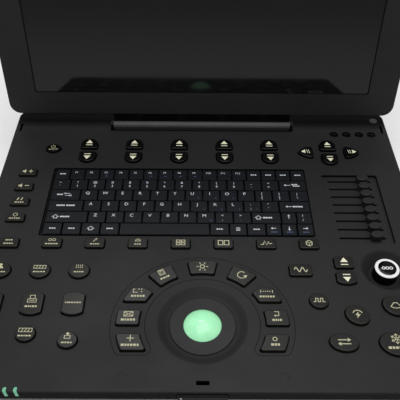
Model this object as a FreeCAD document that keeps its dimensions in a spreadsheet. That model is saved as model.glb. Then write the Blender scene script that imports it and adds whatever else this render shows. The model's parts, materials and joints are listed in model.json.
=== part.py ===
import FreeCAD, Part
import math
import os
import Sketcher
from FreeCAD import Placement, Rotation, Vector

os.makedirs("parts", exist_ok=True)
doc = FreeCAD.newDocument("UltrasoundScanner")
sheet = doc.addObject("Spreadsheet::Sheet", "dims")

# Driving dimensions, in millimetres and degrees. Places on the deck are given from the centre line
# (x) and from the front edge of the deck (y).
DIMENSIONS = [
    ("front_to_origin", 173.33, "from the deck's front edge back to the frame's origin"),
    ("deck_width", 360.0, "console, left to right"),
    ("deck_depth", 303.0, "console, front to back"),
    ("deck_top", 46.0, "deck surface above the table"),
    ("deck_skin", 3.0, "thickness of the deck panel"),
    ("deck_band", 9.3, "height of the upright band round the deck"),
    ("band_wall", 2.6, "thickness of that band"),
    ("corner_radius", 9.5, "plan radius of the console's corners"),
    ("deck_edge", 1.6, "rounding of the deck's upper edge"),
    ("foot_height", 3.0, "rubber foot below the shell"),
    ("foot_radius", 9.0, "rubber foot"),
    ("under_cut", 17.0, "how far the lower shell draws in at the front and sides"),
    ("rear_cut", 3.0, "how far the lower shell draws in at the back"),
    ("shell_wall", 2.6, "lower shell wall"),
    ("gap", 0.5, "clearance round a key in its hole"),
    ("cap_rise", 2.4, "key top above the deck"),
    ("cap_depth", 4.2, "key skirt below the deck"),
    ("cap_edge", 0.8, "rounding of a key's top edge"),
    ("cap_corner", 1.8, "plan radius of a key's corners"),
    ("hinge_y", 275.0, "hinge axis from the front edge"),
    ("hinge_rise", 5.0, "hinge axis above the deck"),
    ("lid_lean", 78.3, "lid from the horizontal at rest, leaning back"),
    ("barrel_radius", 3.3, "hinge barrel"),
    ("barrel_length", 168.6, "hinge barrel"),
    ("pin_radius", 2.0, "hinge pin"),
    ("pin_play", 0.06, "radial clearance of the pin in the barrel"),
    ("lid_start", 10.2, "lower edge of the lid from the hinge axis"),
    ("lid_end", 275.0, "upper edge of the lid from the hinge axis"),
    ("lid_face", 1.0, "lid face behind the hinge axis"),
    ("lid_thick", 18.0, "lid, face to back"),
    ("lid_overhang", 1.2, "lid past the console at each side"),
    ("bezel_thick", 1.8, "front frame of the lid"),
    ("lid_wall", 2.5, "lid shell wall"),
    ("screen_width", 309.6, "opening in the front frame"),
    ("screen_height", 232.2, "opening in the front frame"),
    ("screen_start", 31.0, "lower edge of the opening from the hinge axis"),
    ("ball_y", 53.5, "trackball centre from the front edge"),
    ("ball_radius", 18.0, "trackball"),
    ("ball_mouth", 13.3, "radius of the ball that stands clear of its collar"),
    ("collar_drop", 2.0, "collar top below the deck"),
    ("collar_radius", 24.2, "flat collar round the ball"),
    ("ring_radius", 32.3, "dished ring round the collar"),
    ("arc_outer_x", 62.2, "half width of the arc of keys, outer edge"),
    ("arc_outer_y", 56.8, "height of the arc of keys above the ball, outer edge"),
    ("arc_inner_x", 45.6, "half width of the arc of keys, inner edge"),
    ("arc_inner_y", 44.0, "height of the arc of keys above the ball, inner edge"),
    ("arc_margin", 3.9, "bezel round the arc of keys"),
    ("arc_foot", 25.5, "lower end of the arc bezel below the ball centre"),
    ("knob_x", 143.2, "rotary knob from the centre line"),
    ("knob_y", 103.8, "rotary knob from the front edge"),
    ("knob_radius", 9.8, "rotary knob"),
    ("knob_rise", 1.8, "knob top above the deck"),
    ("dish_radius", 19.9, "round dish under the knob"),
    ("dish_depth", 8.0, "dish floor below the deck"),
    ("knob_button", 6.6, "radius of the push cap in the knob"),
    ("board_left", -130.3, "left edge of the letter keyboard"),
    ("board_right", 91.7, "right edge of the letter keyboard"),
    ("board_front", 137.3, "front edge of the letter keyboard"),
    ("board_pitch", 13.05, "depth of one row of letter keys"),
    ("slider_left", 112.2, "left end of the slider slots"),
    ("slider_length", 38.4, "length of a slider slot"),
    ("slider_back", 204.6, "rearmost slider slot from the front edge"),
    ("slider_pitch", 9.57, "spacing of the slider slots"),
    ("slider_drop", 2.4, "slider panel below the deck"),
    ("slider_rest", 142.0, "slider caps at rest, from the centre line"),
]


class Size(float):
    """A number read from the sheet that remembers the formula it came from."""

    def __new__(cls, value, text):
        made = float.__new__(cls, value)
        made.text = text
        return made

    def _join(self, other, sign, value):
        return Size(value, f"({self.text} {sign} {formula(other)})")

    def __add__(self, other):
        return self._join(other, "+", float(self) + float(other))

    def __sub__(self, other):
        return self._join(other, "-", float(self) - float(other))

    def __mul__(self, other):
        return self._join(other, "*", float(self) * float(other))

    def __truediv__(self, other):
        return self._join(other, "/", float(self) / float(other))

    def __radd__(self, other):
        return Size(float(other) + float(self), f"({formula(other)} + {self.text})")

    def __rsub__(self, other):
        return Size(float(other) - float(self), f"({formula(other)} - {self.text})")

    def __rmul__(self, other):
        return Size(float(other) * float(self), f"({formula(other)} * {self.text})")

    def __neg__(self):
        return Size(-float(self), f"(0 - {self.text})")


def formula(number):
    return number.text if isinstance(number, Size) else f"{float(number):.6g}"


class Dims:
    """The sheet's dimensions, by name."""


d = Dims()
for row, (alias, value, note) in enumerate(DIMENSIONS, start=1):
    sheet.set(f"A{row}", f"{value}")
    sheet.setAlias(f"A{row}", alias)
    sheet.set(f"B{row}", note)
    setattr(d, alias, Size(value, f"dims.{alias}"))
doc.recompute()

# Heights and places used by many pieces.
band_foot = d.deck_top - d.deck_band
skin_under = d.deck_top - d.deck_skin
hinge_z = d.deck_top + d.hinge_rise
FLANGE = 3.0
FLANGE_THICK = 1.5
THROUGH = 1.0


def along(distance):
    """Y in the part's frame of a place given from the deck's front edge."""
    return distance - d.front_to_origin


def bind(obj, **sizes):
    for name, number in sizes.items():
        if isinstance(number, Size):
            obj.setExpression(name, number.text)
        setattr(obj, name, float(number))


def place(obj, x=0.0, y=0.0, z=0.0):
    obj.Placement = Placement(Vector(float(x), float(y), float(z)), obj.Placement.Rotation)
    for letter, number in (("x", x), ("y", y), ("z", z)):
        if isinstance(number, Size):
            obj.setExpression(f"Placement.Base.{letter}", number.text)


def add(kind, name):
    return doc.addObject(kind, name)


def box(name, x, y, z, length, width, height):
    """A block from its lowest corner."""
    made = add("Part::Box", name)
    bind(made, Length=length, Width=width, Height=height)
    place(made, x, y, z)
    return made


def centred_box(name, x, y, z, length, width, height):
    """A block centred on x and y, from its lower face up."""
    return box(name, x - length / 2, y - width / 2, z, length, width, height)


def cylinder(name, x, y, z, radius, height):
    made = add("Part::Cylinder", name)
    bind(made, Radius=radius, Height=height)
    place(made, x, y, z)
    return made


def cross_cylinder(name, x, y, z, radius, length):
    """A cylinder along X from its left end."""
    made = add("Part::Cylinder", name)
    bind(made, Radius=radius, Height=length)
    made.Placement = Placement(Vector(0, 0, 0), Rotation(Vector(0, 1, 0), 90))
    place(made, x, y, z)
    return made


def fuse(name, pieces):
    made = add("Part::MultiFuse", name)
    made.Shapes = pieces
    made.Refine = True
    return made


def cut(name, base, tools):
    made = add("Part::Cut", name)
    made.Base = base
    made.Tool = tools[0] if len(tools) == 1 else fuse(f"{name}_tools", tools)
    return made


def group(name, pieces):
    made = add("Part::Compound", name)
    made.Links = pieces
    return made


def feature(name, shape):
    made = add("Part::Feature", name)
    made.Shape = shape
    return made


def rounded(name, base, radius, test):
    """Fillets the edges of base that pass the test."""
    doc.recompute()
    made = add("Part::Fillet", name)
    made.Base = base
    chosen = [i for i, e in enumerate(base.Shape.Edges, start=1) if test(e)]
    made.Edges = [(i, float(radius), float(radius)) for i in chosen]
    return made


def upright(edge):
    a, b = edge.Vertexes[0].Point, edge.Vertexes[-1].Point
    return abs(a.x - b.x) < 1e-6 and abs(a.y - b.y) < 1e-6 and abs(a.z - b.z) > 1e-3


def level_at(z):
    """Test for edges that lie at one height."""
    def test(edge):
        return all(abs(v.Z - z) < 1e-4 for v in edge.Vertexes)
    return test


# ---------------------------------------------------------------- key outlines
# Each outline is a list of edges round a key at height 0, with its sharp corners.

def arc(a, b, c):
    return Part.Arc(Vector(*a, 0), Vector(*b, 0), Vector(*c, 0)).toShape()


def line(a, b):
    return Part.makeLine(Vector(*a, 0), Vector(*b, 0))


class Outline:
    def __init__(self, edges, corners=(), turn=0.0, at=(0.0, 0.0)):
        self.wire = Part.Wire(edges)
        self.corners = [Vector(*c, 0) for c in corners]
        spin = Placement(Vector(at[0], at[1], 0), Rotation(Vector(0, 0, 1), turn))
        self.wire.Placement = spin
        self.corners = [spin.multVec(c) for c in self.corners]

    def solid(self, low, high, corner_radius):
        """The outline drawn up between two heights, with its corners rounded."""
        wire = self.wire.copy()
        wire.translate(Vector(0, 0, low))
        made = Part.Face(wire).extrude(Vector(0, 0, high - low))
        sharp = [e for e in made.Edges if upright(e) and self._has(e)]
        return made.makeFillet(corner_radius, sharp) if sharp and corner_radius else made

    def _has(self, edge):
        p = edge.Vertexes[0].Point
        return any(math.hypot(p.x - c.x, p.y - c.y) < 1e-4 for c in self.corners)


def rectangle(x, y, width, depth, grow=0.0):
    w, h = width / 2 + grow, depth / 2 + grow
    corners = [(-w, -h), (w, -h), (w, h), (-w, h)]
    edges = [line(a, b) for a, b in zip(corners, corners[1:] + corners[:1])]
    return Outline(edges, corners, at=(x, y))


def oval(x, y, width, depth, turn=0.0, grow=0.0):
    w, h = width / 2 + grow, depth / 2 + grow
    if abs(w - h) < 1e-6:
        return Outline([Part.makeCircle(w)], at=(x, y))
    return Outline([Part.Ellipse(Vector(0, 0, 0), w, h).toShape()], turn=turn, at=(x, y))


def dome(x, y, width, depth, turn=0.0, grow=0.0):
    """Flat at the foot and round at the head; turn points the head."""
    w, h = width / 2 + grow, depth / 2 + grow
    shoulder = h - 0.92 * w
    foot = [(-w, -h), (w, -h)]
    edges = [line(foot[0], foot[1]), line(foot[1], (w, shoulder)),
             arc((w, shoulder), (0, h), (-w, shoulder)), line((-w, shoulder), foot[0])]
    return Outline(edges, foot, turn, (x, y))


def leaf(x, y, width, depth, turn=0.0, grow=0.0):
    """A pointed arch: slightly bowed at the foot, pointed at the head."""
    w, h = width / 2 + grow, depth / 2 + grow
    corners = [(-w, -h * 0.86), (w, -h * 0.86), (0, h)]
    edges = [arc(corners[0], (0, -h), corners[1]),
             arc(corners[1], (w * 0.66, h * 0.32), corners[2]),
             arc(corners[2], (-w * 0.66, h * 0.32), corners[0])]
    return Outline(edges, corners, turn, (x, y))


def barrel(x, y, width, depth, bow=2.6, grow=0.0):
    """Straight sides with a bowed head and foot."""
    w, h = width / 2 + grow, depth / 2 + grow
    corners = [(-w, -h + bow), (w, -h + bow), (w, h - bow), (-w, h - bow)]
    edges = [arc(corners[0], (0, -h), corners[1]), line(corners[1], corners[2]),
             arc(corners[2], (0, h), corners[3]), line(corners[3], corners[0])]
    return Outline(edges, corners, at=(x, y))


def bowed(x, y, width, depth, bow=2.2, side=-1, grow=0.0):
    """A rectangle with one bowed edge, at the front (-1) or the back (1)."""
    w, h = width / 2 + grow, depth / 2 + grow
    bulge, flat = side * h, -side * h
    corners = [(-w, flat), (w, flat), (w, bulge - side * bow), (-w, bulge - side * bow)]
    edges = [line(corners[0], corners[1]), line(corners[1], corners[2]),
             arc(corners[2], (0, bulge), corners[3]), line(corners[3], corners[0])]
    return Outline(edges, corners, at=(x, y))


def eye(x, y, width, depth, turn=0.0, grow=0.0):
    """Two arcs that meet in a point left and right."""
    w, h = width / 2 + grow, depth / 2 + grow
    tips = [(-w, 0), (w, 0)]
    return Outline([arc(tips[0], (0, -h), tips[1]), arc(tips[1], (0, h), tips[0])], tips, turn, (x, y))


def caps(name, outlines, low=None, high=None, corner=None, edge=None):
    """Key caps that stand through the deck, one solid for each outline."""
    low = d.deck_top - d.cap_depth if low is None else low
    high = d.deck_top + d.cap_rise if high is None else high
    corner = d.cap_corner if corner is None else corner
    edge = d.cap_edge if edge is None else edge
    solids = []
    for outline in outlines:
        solid = outline.solid(low, high, corner)
        rim = [e for e in solid.Edges if level_at(high)(e)]
        solids.append(solid.makeFillet(edge, rim))
    made = solids[0] if len(solids) == 1 else Part.makeCompound(solids)
    return feature(name, made)


def holes(outlines, corner=None):
    """Cutting solids through the deck's skin for those keys."""
    low, high = skin_under - FLANGE_THICK - THROUGH, d.deck_top + THROUGH
    corner = d.cap_corner + d.gap if corner is None else corner
    return [outline.solid(low, high, corner) for outline in outlines]


# ---------------------------------------------------------------- key layout
# Every key is (outline function, its arguments). Places are (x, from the front edge).
SOFT_FIRST, SOFT_PITCH = -105.2, 42.05
SOFT_REAR, SOFT_FRONT, SOFT_WIDE, SOFT_DEEP = 250.6, 232.2, 15.6, 13.7
soft_places = [SOFT_FIRST + SOFT_PITCH * i for i in range(5)]
NAV_X, NAV_Y, NAV_SIDE, NAV_REACH = 117.8, 240.6, 21.5, 9.6
EXAM_X = (-155.1, -124.8, -94.6)
BARREL_X = (-155.3, -125.0, -94.8)
ROW_FIRST, ROW_PITCH, ROW_Y = -154.4, 34.28, 128.2
LEVEL_X, LEVEL_BACK, LEVEL_PITCH = -155.2, 211.0, 18.45

KEYS = {
    "power_key": [(eye, (-138.0, 243.9, 14.6, 10.5), {"turn": 5})],
    "soft_keys_rear": [(dome, (x, SOFT_REAR, SOFT_WIDE, SOFT_DEEP), {}) for x in soft_places],
    "soft_keys_front": [(dome, (x, SOFT_FRONT, SOFT_WIDE, SOFT_DEEP), {"turn": 180}) for x in soft_places],
    "nav_keys": [
        (dome, (NAV_X, NAV_Y + NAV_REACH, 15.1, 14.2), {}),
        (dome, (NAV_X, NAV_Y - NAV_REACH, 15.1, 14.2), {"turn": 180}),
        (leaf, (NAV_X - NAV_SIDE, NAV_Y, 15.3, 14.3), {"turn": 90}),
        (leaf, (NAV_X + NAV_SIDE, NAV_Y, 15.3, 14.3), {"turn": -90}),
    ],
    "level_keys": [(rectangle, (LEVEL_X, LEVEL_BACK - LEVEL_PITCH * i, 15.8, 9.1), {}) for i in range(4)],
    "mode_row_keys": [(rectangle, (ROW_FIRST + ROW_PITCH * i, ROW_Y, 15.5, 10.1), {}) for i in range(8)],
    "exam_keys": [(oval, (x, 100.3, 16.1, 14.9), {}) for x in EXAM_X]
    + [(barrel, (x, 69.6, 16.1, 20.3), {}) for x in BARREL_X]
    + [(oval, (EXAM_X[1], 43.8, 14.2, 12.9), {}), (oval, (EXAM_X[2], 38.7, 14.2, 12.9), {})],
    "key_doppler": [(rectangle, (75.8, 101.4, 17.5, 10.8), {})],
    "page_keys": [
        (rectangle, (110.4, 109.4, 15.0, 11.3), {}),
        (bowed, (110.2, 94.1, 15.3, 11.8), {"side": -1}),
    ],
    "key_pulse": [(oval, (86.1, 72.9, 14.0, 13.0), {"turn": -20})],
    "key_power_map": [(oval, (112.4, 60.6, 18.3, 15.6), {"turn": -38})],
    "key_flow": [(oval, (99.0, 37.7, 20.5, 14.4), {"turn": -8})],
    "key_image": [(oval, (141.8, 69.0, 19.2, 16.6), {"turn": -35})],
    "key_freeze": [(oval, (136.0, 36.7, 24.6, 19.0), {"turn": -12})],
}


def outlines_of(name, grow=0.0):
    made = []
    for shape, (x, y, *size), extra in KEYS[name]:
        made.append(shape(x, float(along(y)), *size, grow=grow, **extra))
    return made


# ---------------------------------------------------------------- arc of keys round the ball
ball_at = along(d.ball_y)


def on_ellipse(half_width, height, x=None, rise=None, angle=None, side=1):
    """A point of the ellipse round the ball: at a height above the ball, or on a ray from it."""
    if angle is not None:
        t = math.radians(angle)
        reach = 1 / math.hypot(math.cos(t) / half_width, math.sin(t) / height)
        return (side * reach * math.cos(t), reach * math.sin(t) + float(ball_at))
    return (side * half_width * math.sqrt(1 - (rise / height) ** 2), rise + float(ball_at))


def bend(half_width, height, a, b):
    """The point of the ellipse half way between two of its points."""
    across = (a[0] + b[0]) / half_width
    up = (a[1] + b[1] - 2 * float(ball_at)) / height
    t = math.atan2(up, across)
    return (half_width * math.cos(t), height * math.sin(t) + float(ball_at))


def arc_key(side, grow, rows=None, rays=None, notch=None):
    """One key of the arc, cut off by two level lines or two rays; notch is a ray that trims it."""
    outer = (d.arc_outer_x + grow, d.arc_outer_y + grow)
    inner = (d.arc_inner_x - grow, d.arc_inner_y - grow)
    if rows:
        low, high = rows[0] - grow, rows[1] + grow
        a = on_ellipse(*outer, rise=low, side=side)
        b = on_ellipse(*outer, rise=high, side=side)
        e = on_ellipse(*inner, rise=low, side=side)
        if notch:
            steep = notch + math.degrees(grow / inner[0])
            c = (side * high / math.tan(math.radians(steep)), high + float(ball_at))
            f = on_ellipse(*inner, angle=steep, side=side)
            corners = [a, b, c, f, e]
            edges = [arc(a, bend(*outer, a, b), b), line(b, c), line(c, f),
                     arc(f, bend(*inner, f, e), e), line(e, a)]
            return Outline(edges, corners)
        c = on_ellipse(*inner, rise=high, side=side)
    else:
        spread = math.degrees(grow / inner[0])
        a = on_ellipse(*outer, angle=rays[0] - spread, side=side)
        b = on_ellipse(*outer, angle=rays[1] + spread, side=side)
        c = on_ellipse(*inner, angle=rays[1] + spread, side=side)
        e = on_ellipse(*inner, angle=rays[0] - spread, side=side)
    edges = [arc(a, bend(*outer, a, b), b), line(b, c), arc(c, bend(*inner, c, e), e), line(e, a)]
    return Outline(edges, [a, b, c, e])


ARC_KEYS = {
    "arc_key_cursor": (-1, {"rows": (-22.9, -9.6)}),
    "arc_key_clear": (-1, {"rows": (-2.3, 10.6)}),
    "arc_key_trace": (-1, {"rows": (18.0, 30.8), "notch": 35.4}),
    "arc_key_calc": (-1, {"rays": (45.6, 65.4)}),
    "arc_key_assist": (1, {"rays": (78.2, 101.8)}),
    "arc_key_update": (1, {"rays": (45.6, 65.4)}),
    "arc_key_caliper": (1, {"rows": (18.0, 30.8), "notch": 35.4}),
    "arc_key_exit": (1, {"rows": (-2.3, 10.6)}),
    "arc_key_set": (1, {"rows": (-22.9, -9.6)}),
}


def arc_band(grow):
    """The horseshoe outline of the bezel round the arc of keys."""
    outer = (d.arc_outer_x + d.arc_margin + grow, d.arc_outer_y + d.arc_margin + grow)
    inner = (d.arc_inner_x - d.arc_margin - grow, d.arc_inner_y - d.arc_margin - grow)
    low = -(float(d.arc_foot) + grow)
    top = float(ball_at)
    a, b = on_ellipse(*outer, rise=low, side=1), on_ellipse(*outer, rise=low, side=-1)
    c, e = on_ellipse(*inner, rise=low, side=-1), on_ellipse(*inner, rise=low, side=1)
    halves = []
    for size, start, end in ((outer, a, b), (inner, e, c)):
        curve = Part.Ellipse(Vector(0, top, 0), size[0], size[1])
        first = curve.parameter(Vector(*start, 0))
        last = curve.parameter(Vector(*end, 0))
        halves.append(curve.toShape(first - 2 * math.pi if first > last else first, last))
    return Outline([halves[0], line(b, c), halves[1], line(e, a)], [a, b, c, e])


# ---------------------------------------------------------------- turned pieces
def turned(name, profile, x, y, z):
    """A PartDesign body revolved about its own Z. The profile is a list of (radius, height) corners."""
    body = add("PartDesign::Body", name)
    sketch = body.newObject("Sketcher::SketchObject", f"{name}_profile")
    plane = next(o for o in body.Origin.OriginFeatures if o.Role == "XZ_Plane")
    sketch.AttachmentSupport = [(plane, "")]
    sketch.MapMode = "FlatFace"
    points = [Vector(float(r), float(h), 0) for r, h in profile]
    count = len(points)
    for i in range(count):
        sketch.addGeometry(Part.LineSegment(points[i], points[(i + 1) % count]), False)
    for i in range(count):
        sketch.addConstraint(Sketcher.Constraint("Coincident", i, 2, (i + 1) % count, 1))
    for i, (r, h) in enumerate(profile):
        for kind, number, axis in (("DistanceX", r, -2), ("DistanceY", h, -1)):
            if abs(float(number)) < 1e-9:
                sketch.addConstraint(Sketcher.Constraint("PointOnObject", i, 1, axis))
            else:
                index = sketch.addConstraint(Sketcher.Constraint(kind, -1, 1, i, 1, float(number)))
                if isinstance(number, Size):
                    sketch.setExpression(f"Constraints[{index}]", number.text)
    made = body.newObject("PartDesign::Revolution", f"{name}_turn")
    made.Profile = sketch
    made.ReferenceAxis = (sketch, ["V_Axis"])
    made.Angle = 360
    body.Tip = made
    place(body, x, y, z)
    return body


# ---------------------------------------------------------------- base: lower shell
SLOT_COUNT, SLOT_PITCH, SLOT_WIDE = 11, 7.0, 3.0
BATTERY = (-70.0, 128.0, 140.0, 96.0, 17.0)
FEET = [(-128.0, 42.0), (128.0, 42.0), (-128.0, 262.0), (128.0, 262.0)]
SCREWS = [(x, y) for x in (-104.0, 104.0) for y in (30.0, 150.0, 270.0)]
SCREW_HEAD, SCREW_SHANK, SCREW_SINK = 3.0, 1.5, 2.2
REAR_WINDOW = (-112.0, 224.0)
WINDOW_FLOOR = 8.0
window_height = band_foot - WINDOW_FLOOR


def drawn_in(name, inset, low, high, extra):
    """A rounded tray shape whose sides draw in towards the table. inset thins it all round."""
    made = add("Part::Wedge", name)
    half = d.deck_width / 2 - inset
    front = d.front_to_origin - inset
    back = d.deck_depth - d.front_to_origin - inset
    bind(made, Xmin=-(half - d.under_cut), Xmax=half - d.under_cut, X2min=-half, X2max=half,
         Ymin=low, Ymax=high + extra,
         Zmin=-(back - d.rear_cut), Zmax=front - d.under_cut, Z2min=-back, Z2max=front)
    made.Placement = Placement(Vector(0, 0, 0), Rotation(Vector(1, 0, 0), 90))
    return made


def slanted(edge):
    a, b = edge.Vertexes[0].Point, edge.Vertexes[-1].Point
    return abs(a.z - b.z) > 1.0


def lower_shell():
    low = d.foot_height
    outer = rounded("shell_body", drawn_in("shell_outer", 0.0, low, band_foot, 0.0), d.corner_radius, slanted)
    soft = rounded("shell_soft", outer, 2.0, level_at(float(low)))
    hollow = rounded("shell_hollow", drawn_in("shell_inner", d.shell_wall, low + d.shell_wall, band_foot, THROUGH),
                     d.corner_radius - d.shell_wall, slanted)
    tools = [hollow]
    x, y, length, width, height = BATTERY
    tools.append(box("battery_bay", x - 0.4, along(y - 0.4), low - THROUGH, length + 0.8, width + 0.8, height))
    x, length = REAR_WINDOW
    tools.append(box("rear_window", x, along(d.deck_depth - 20.0), WINDOW_FLOOR,
                     length, 40.0, window_height + THROUGH))
    for side in (-1, 1):
        for i in range(SLOT_COUNT):
            at = 150.0 + SLOT_PITCH * i
            tools.append(centred_box(f"vent_{side + 1}_{i}", side * d.deck_width / 2 - side * 9.0, along(at),
                                     16.0, 30.0, SLOT_WIDE, 13.0))
    for i, (x, y) in enumerate(SCREWS):
        tools.append(cylinder(f"screw_sink_{i}", x, along(y), low - THROUGH, SCREW_HEAD + 0.4,
                              SCREW_SINK + THROUGH - 0.6))
        tools.append(cylinder(f"screw_hole_{i}", x, along(y), low - THROUGH, SCREW_SHANK + 0.15, 6.0))
    return cut("base_bottom", soft, tools)


# ---------------------------------------------------------------- base: deck
LATCH_SLOT = (9.0, 3.2)
LATCH_Y = 7.2
LATCH_TAB = (34.0, 5.6)
LATCH_FOOT = 8.3
WELLS = [127.2 + 12.07 * i for i in range(4)]
WELL_Y, WELL_RADIUS = 268.4, 4.2
HINGE_WELL = (176.0, 272.3, 16.1)
PAD_X, PAD_Y, PAD_WIDE, PAD_DEEP = 169.3, 289.4, 7.6, 7.0
SIDE_SLOT_X, SIDE_SLOT_Y, SIDE_SLOT_LONG = 174.6, 276.3, 11.8
LED_X = [-136.9, -129.8, -122.7]
LED_WIDE, LED_LONG, LED_DROP = 2.2, 3.6, 5.0
PANEL = (106.8, 130.0, 156.4, 211.0)
TRAY_LIP, TRAY_LEFT, TRAY_BACK = 0.7, 2.1, 2.0


def deck():
    half = d.deck_width / 2
    block = box("deck_block", -half, along(0.0), band_foot, d.deck_width, d.deck_depth, d.deck_band)
    body = rounded("deck_body", block, d.corner_radius, upright)
    soft = rounded("deck_soft", body, d.deck_edge, level_at(float(d.deck_top)))
    inner = box("deck_inner", -half + d.band_wall, along(d.band_wall), band_foot - THROUGH,
                d.deck_width - 2 * d.band_wall, d.deck_depth - 2 * d.band_wall,
                d.deck_band - d.deck_skin + THROUGH)
    tools = [rounded("deck_hollow", inner, d.corner_radius - d.band_wall, upright)]
    pierced = []
    for name in KEYS:
        pierced += holes(outlines_of(name, float(d.gap)))
    pierced += holes([arc_band(0.35)], 5.0)
    pierced += holes([oval(0.0, float(ball_at), 2 * d.ring_radius + 0.3, 2 * d.ring_radius + 0.3)])
    pierced += holes([oval(float(d.knob_x), float(along(d.knob_y)), 2 * d.dish_radius, 2 * d.dish_radius)])
    left, front, right, back = PANEL
    middle = ((left + right) / 2, float(along((front + back) / 2)))
    pierced += holes([rectangle(*middle, right - left, back - front)], 2.0)
    pierced += holes([keyboard_outline(TRAY_LIP)], 1.6)
    pierced += holes([rectangle(0.0, float(along(LATCH_Y)), *LATCH_SLOT)], 0.4)
    well_wide, well_front, well_deep = HINGE_WELL
    pierced += holes([rectangle(0.0, float(along(well_front + well_deep / 2)), well_wide, well_deep)], 0.8)
    for side in (-1, 1):
        pierced += holes([rectangle(side * SIDE_SLOT_X, float(along(SIDE_SLOT_Y)), 2.2, SIDE_SLOT_LONG)], 0.6)
    pierced += holes([oval(PAD_X, float(along(PAD_Y)), PAD_WIDE, PAD_DEEP)])
    tools.append(feature("deck_holes", Part.makeCompound(pierced)))
    for i, x in enumerate(WELLS):
        tools.append(cylinder(f"well_{i}", x, along(WELL_Y), d.deck_top - 2.0, WELL_RADIUS, 4.0))
    tools.append(centred_box("tab_window", 0.0, along(0.0), d.deck_top - LATCH_FOOT,
                             LATCH_TAB[0] + 0.8, 8.0, LATCH_TAB[1] + 0.8))
    tools += [led_block(f"led_slot_{i}", x, 0.15) for i, x in enumerate(LED_X)]
    return cut("base_deck", soft, tools)


def led_block(name, x, grow):
    """A curved light bar that folds over the deck's front edge."""
    w, top = LED_WIDE / 2 + grow, float(along(LED_LONG + grow))
    foot = float(along(-0.3))
    middle = (top + foot) / 2
    sweep = 0.8
    edges = [arc((x - w, foot), (x - w - sweep, middle), (x - w, top)), line((x - w, top), (x + w, top)),
             arc((x + w, top), (x + w - sweep, middle), (x + w, foot)), line((x + w, foot), (x - w, foot))]
    corners = [(x - w, top), (x + w, top)]
    solid = Outline(edges, corners).solid(d.deck_top - LED_DROP - grow, d.deck_top + 0.3, 0.8)
    front = [e for e in solid.Edges if level_at(d.deck_top + 0.3)(e) and level_front(e, foot)]
    return feature(name, solid.makeFillet(float(d.deck_edge), front))


def level_front(edge, y):
    return all(abs(v.Y - y) < 1e-4 for v in edge.Vertexes)


def keyboard_outline(grow=0.0):
    """The well of the letter keyboard, which leaves a margin at the left and behind the keys."""
    wide = d.board_right - d.board_left + TRAY_LEFT
    deep = d.board_pitch * 6 + TRAY_BACK
    middle = along(d.board_front + deep / 2)
    return rectangle(float(d.board_right - wide / 2), float(middle), float(wide), float(deep), grow)


# ---------------------------------------------------------------- base: pieces let into the deck
def arc_bezel():
    top = arc_band(0.0).solid(skin_under, d.deck_top, 4.6)
    flange = arc_band(2.4).solid(skin_under - FLANGE_THICK, skin_under, 6.6)
    pierced = Part.makeCompound(
        [s for side, extra in ARC_KEYS.values() for s in holes([arc_key(side, float(d.gap), **extra)], 1.6)])
    clear = Part.makeCylinder(float(d.ring_radius) + 0.6, 10.0, Vector(0, float(ball_at), float(skin_under) - 5.0))
    return feature("arc_bezel", top.fuse(flange).removeSplitter().cut(pierced).cut(clear))


def ball_height():
    """Height of the ball's centre, so that its mouth circle lies at the collar's top."""
    drop = math.sqrt(float(d.ball_radius) ** 2 - float(d.ball_mouth) ** 2)
    return d.deck_top - d.collar_drop - drop


SOCKET_FLOOR = 2.8


def trackball_pieces():
    ring = turned("trackball_ring", [
        (d.collar_radius + 0.1, -4.0), (d.collar_radius + 0.1, -2.8), (d.collar_radius + 3.0, -2.4),
        (d.ring_radius - 1.6, -0.5), (d.ring_radius - 0.6, 0.0), (d.ring_radius, 0.0),
        (d.ring_radius, -4.0)], 0.0, ball_at, d.deck_top)
    clearance = 0.35
    lip = d.ball_mouth + 0.5
    floor = ball_height() - d.ball_radius - SOCKET_FLOOR
    base = cylinder("socket_body", 0.0, ball_at, floor, d.collar_radius, d.deck_top - d.collar_drop - floor)
    top = rounded("socket_soft", base, 0.6, level_at(float(d.deck_top - d.collar_drop)))
    hollow = add("Part::Sphere", "socket_hollow")
    bind(hollow, Radius=d.ball_radius + clearance)
    place(hollow, 0.0, ball_at, ball_height())
    mouth = cylinder("socket_mouth", 0.0, ball_at, d.deck_top - d.collar_drop - 3.0, lip, 6.0)
    socket = cut("trackball_socket", top, [hollow, mouth])
    ball = add("Part::Sphere", "trackball")
    bind(ball, Radius=d.ball_radius)
    place(ball, 0.0, ball_at, ball_height())
    return [ring, socket, ball]


def knob_pieces():
    z = d.deck_top
    dish = turned("knob_dish", [
        (2.6, -d.dish_depth - 2.0), (2.6, -d.dish_depth), (d.knob_radius + 2.2, -d.dish_depth),
        (d.dish_radius - 3.6, -3.4), (d.dish_radius - 1.0, -0.3), (d.dish_radius - 0.2, 0.0),
        (d.dish_radius - 0.2, -3.0), (d.dish_radius + 2.0, -3.0),
        (d.dish_radius + 2.0, -4.6), (d.knob_radius + 3.4, -d.dish_depth - 2.0)], d.knob_x, along(d.knob_y), z)
    skirt = d.knob_radius
    knob = turned("knob", [
        (d.knob_button + 0.25, d.knob_rise - 3.6), (d.knob_button + 0.25, d.knob_rise - 0.5),
        (d.knob_button + 0.7, d.knob_rise), (skirt - 0.9, d.knob_rise), (skirt - 0.2, d.knob_rise - 0.7),
        (skirt + 0.3, -d.dish_depth + 0.8), (2.2, -d.dish_depth + 0.8), (2.2, -d.dish_depth - 6.0),
        (1.2, -d.dish_depth - 6.0), (1.2, d.knob_rise - 3.6)], d.knob_x, along(d.knob_y), z)
    button = turned("knob_button_cap", [
        (0.0, d.knob_rise - 2.2), (0.0, d.knob_rise + 0.1), (d.knob_button - 1.6, d.knob_rise),
        (d.knob_button - 0.4, d.knob_rise - 0.4), (d.knob_button, d.knob_rise - 0.9),
        (d.knob_button, d.knob_rise - 2.2)], d.knob_x, along(d.knob_y), z)
    return [dish, knob, button]


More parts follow.
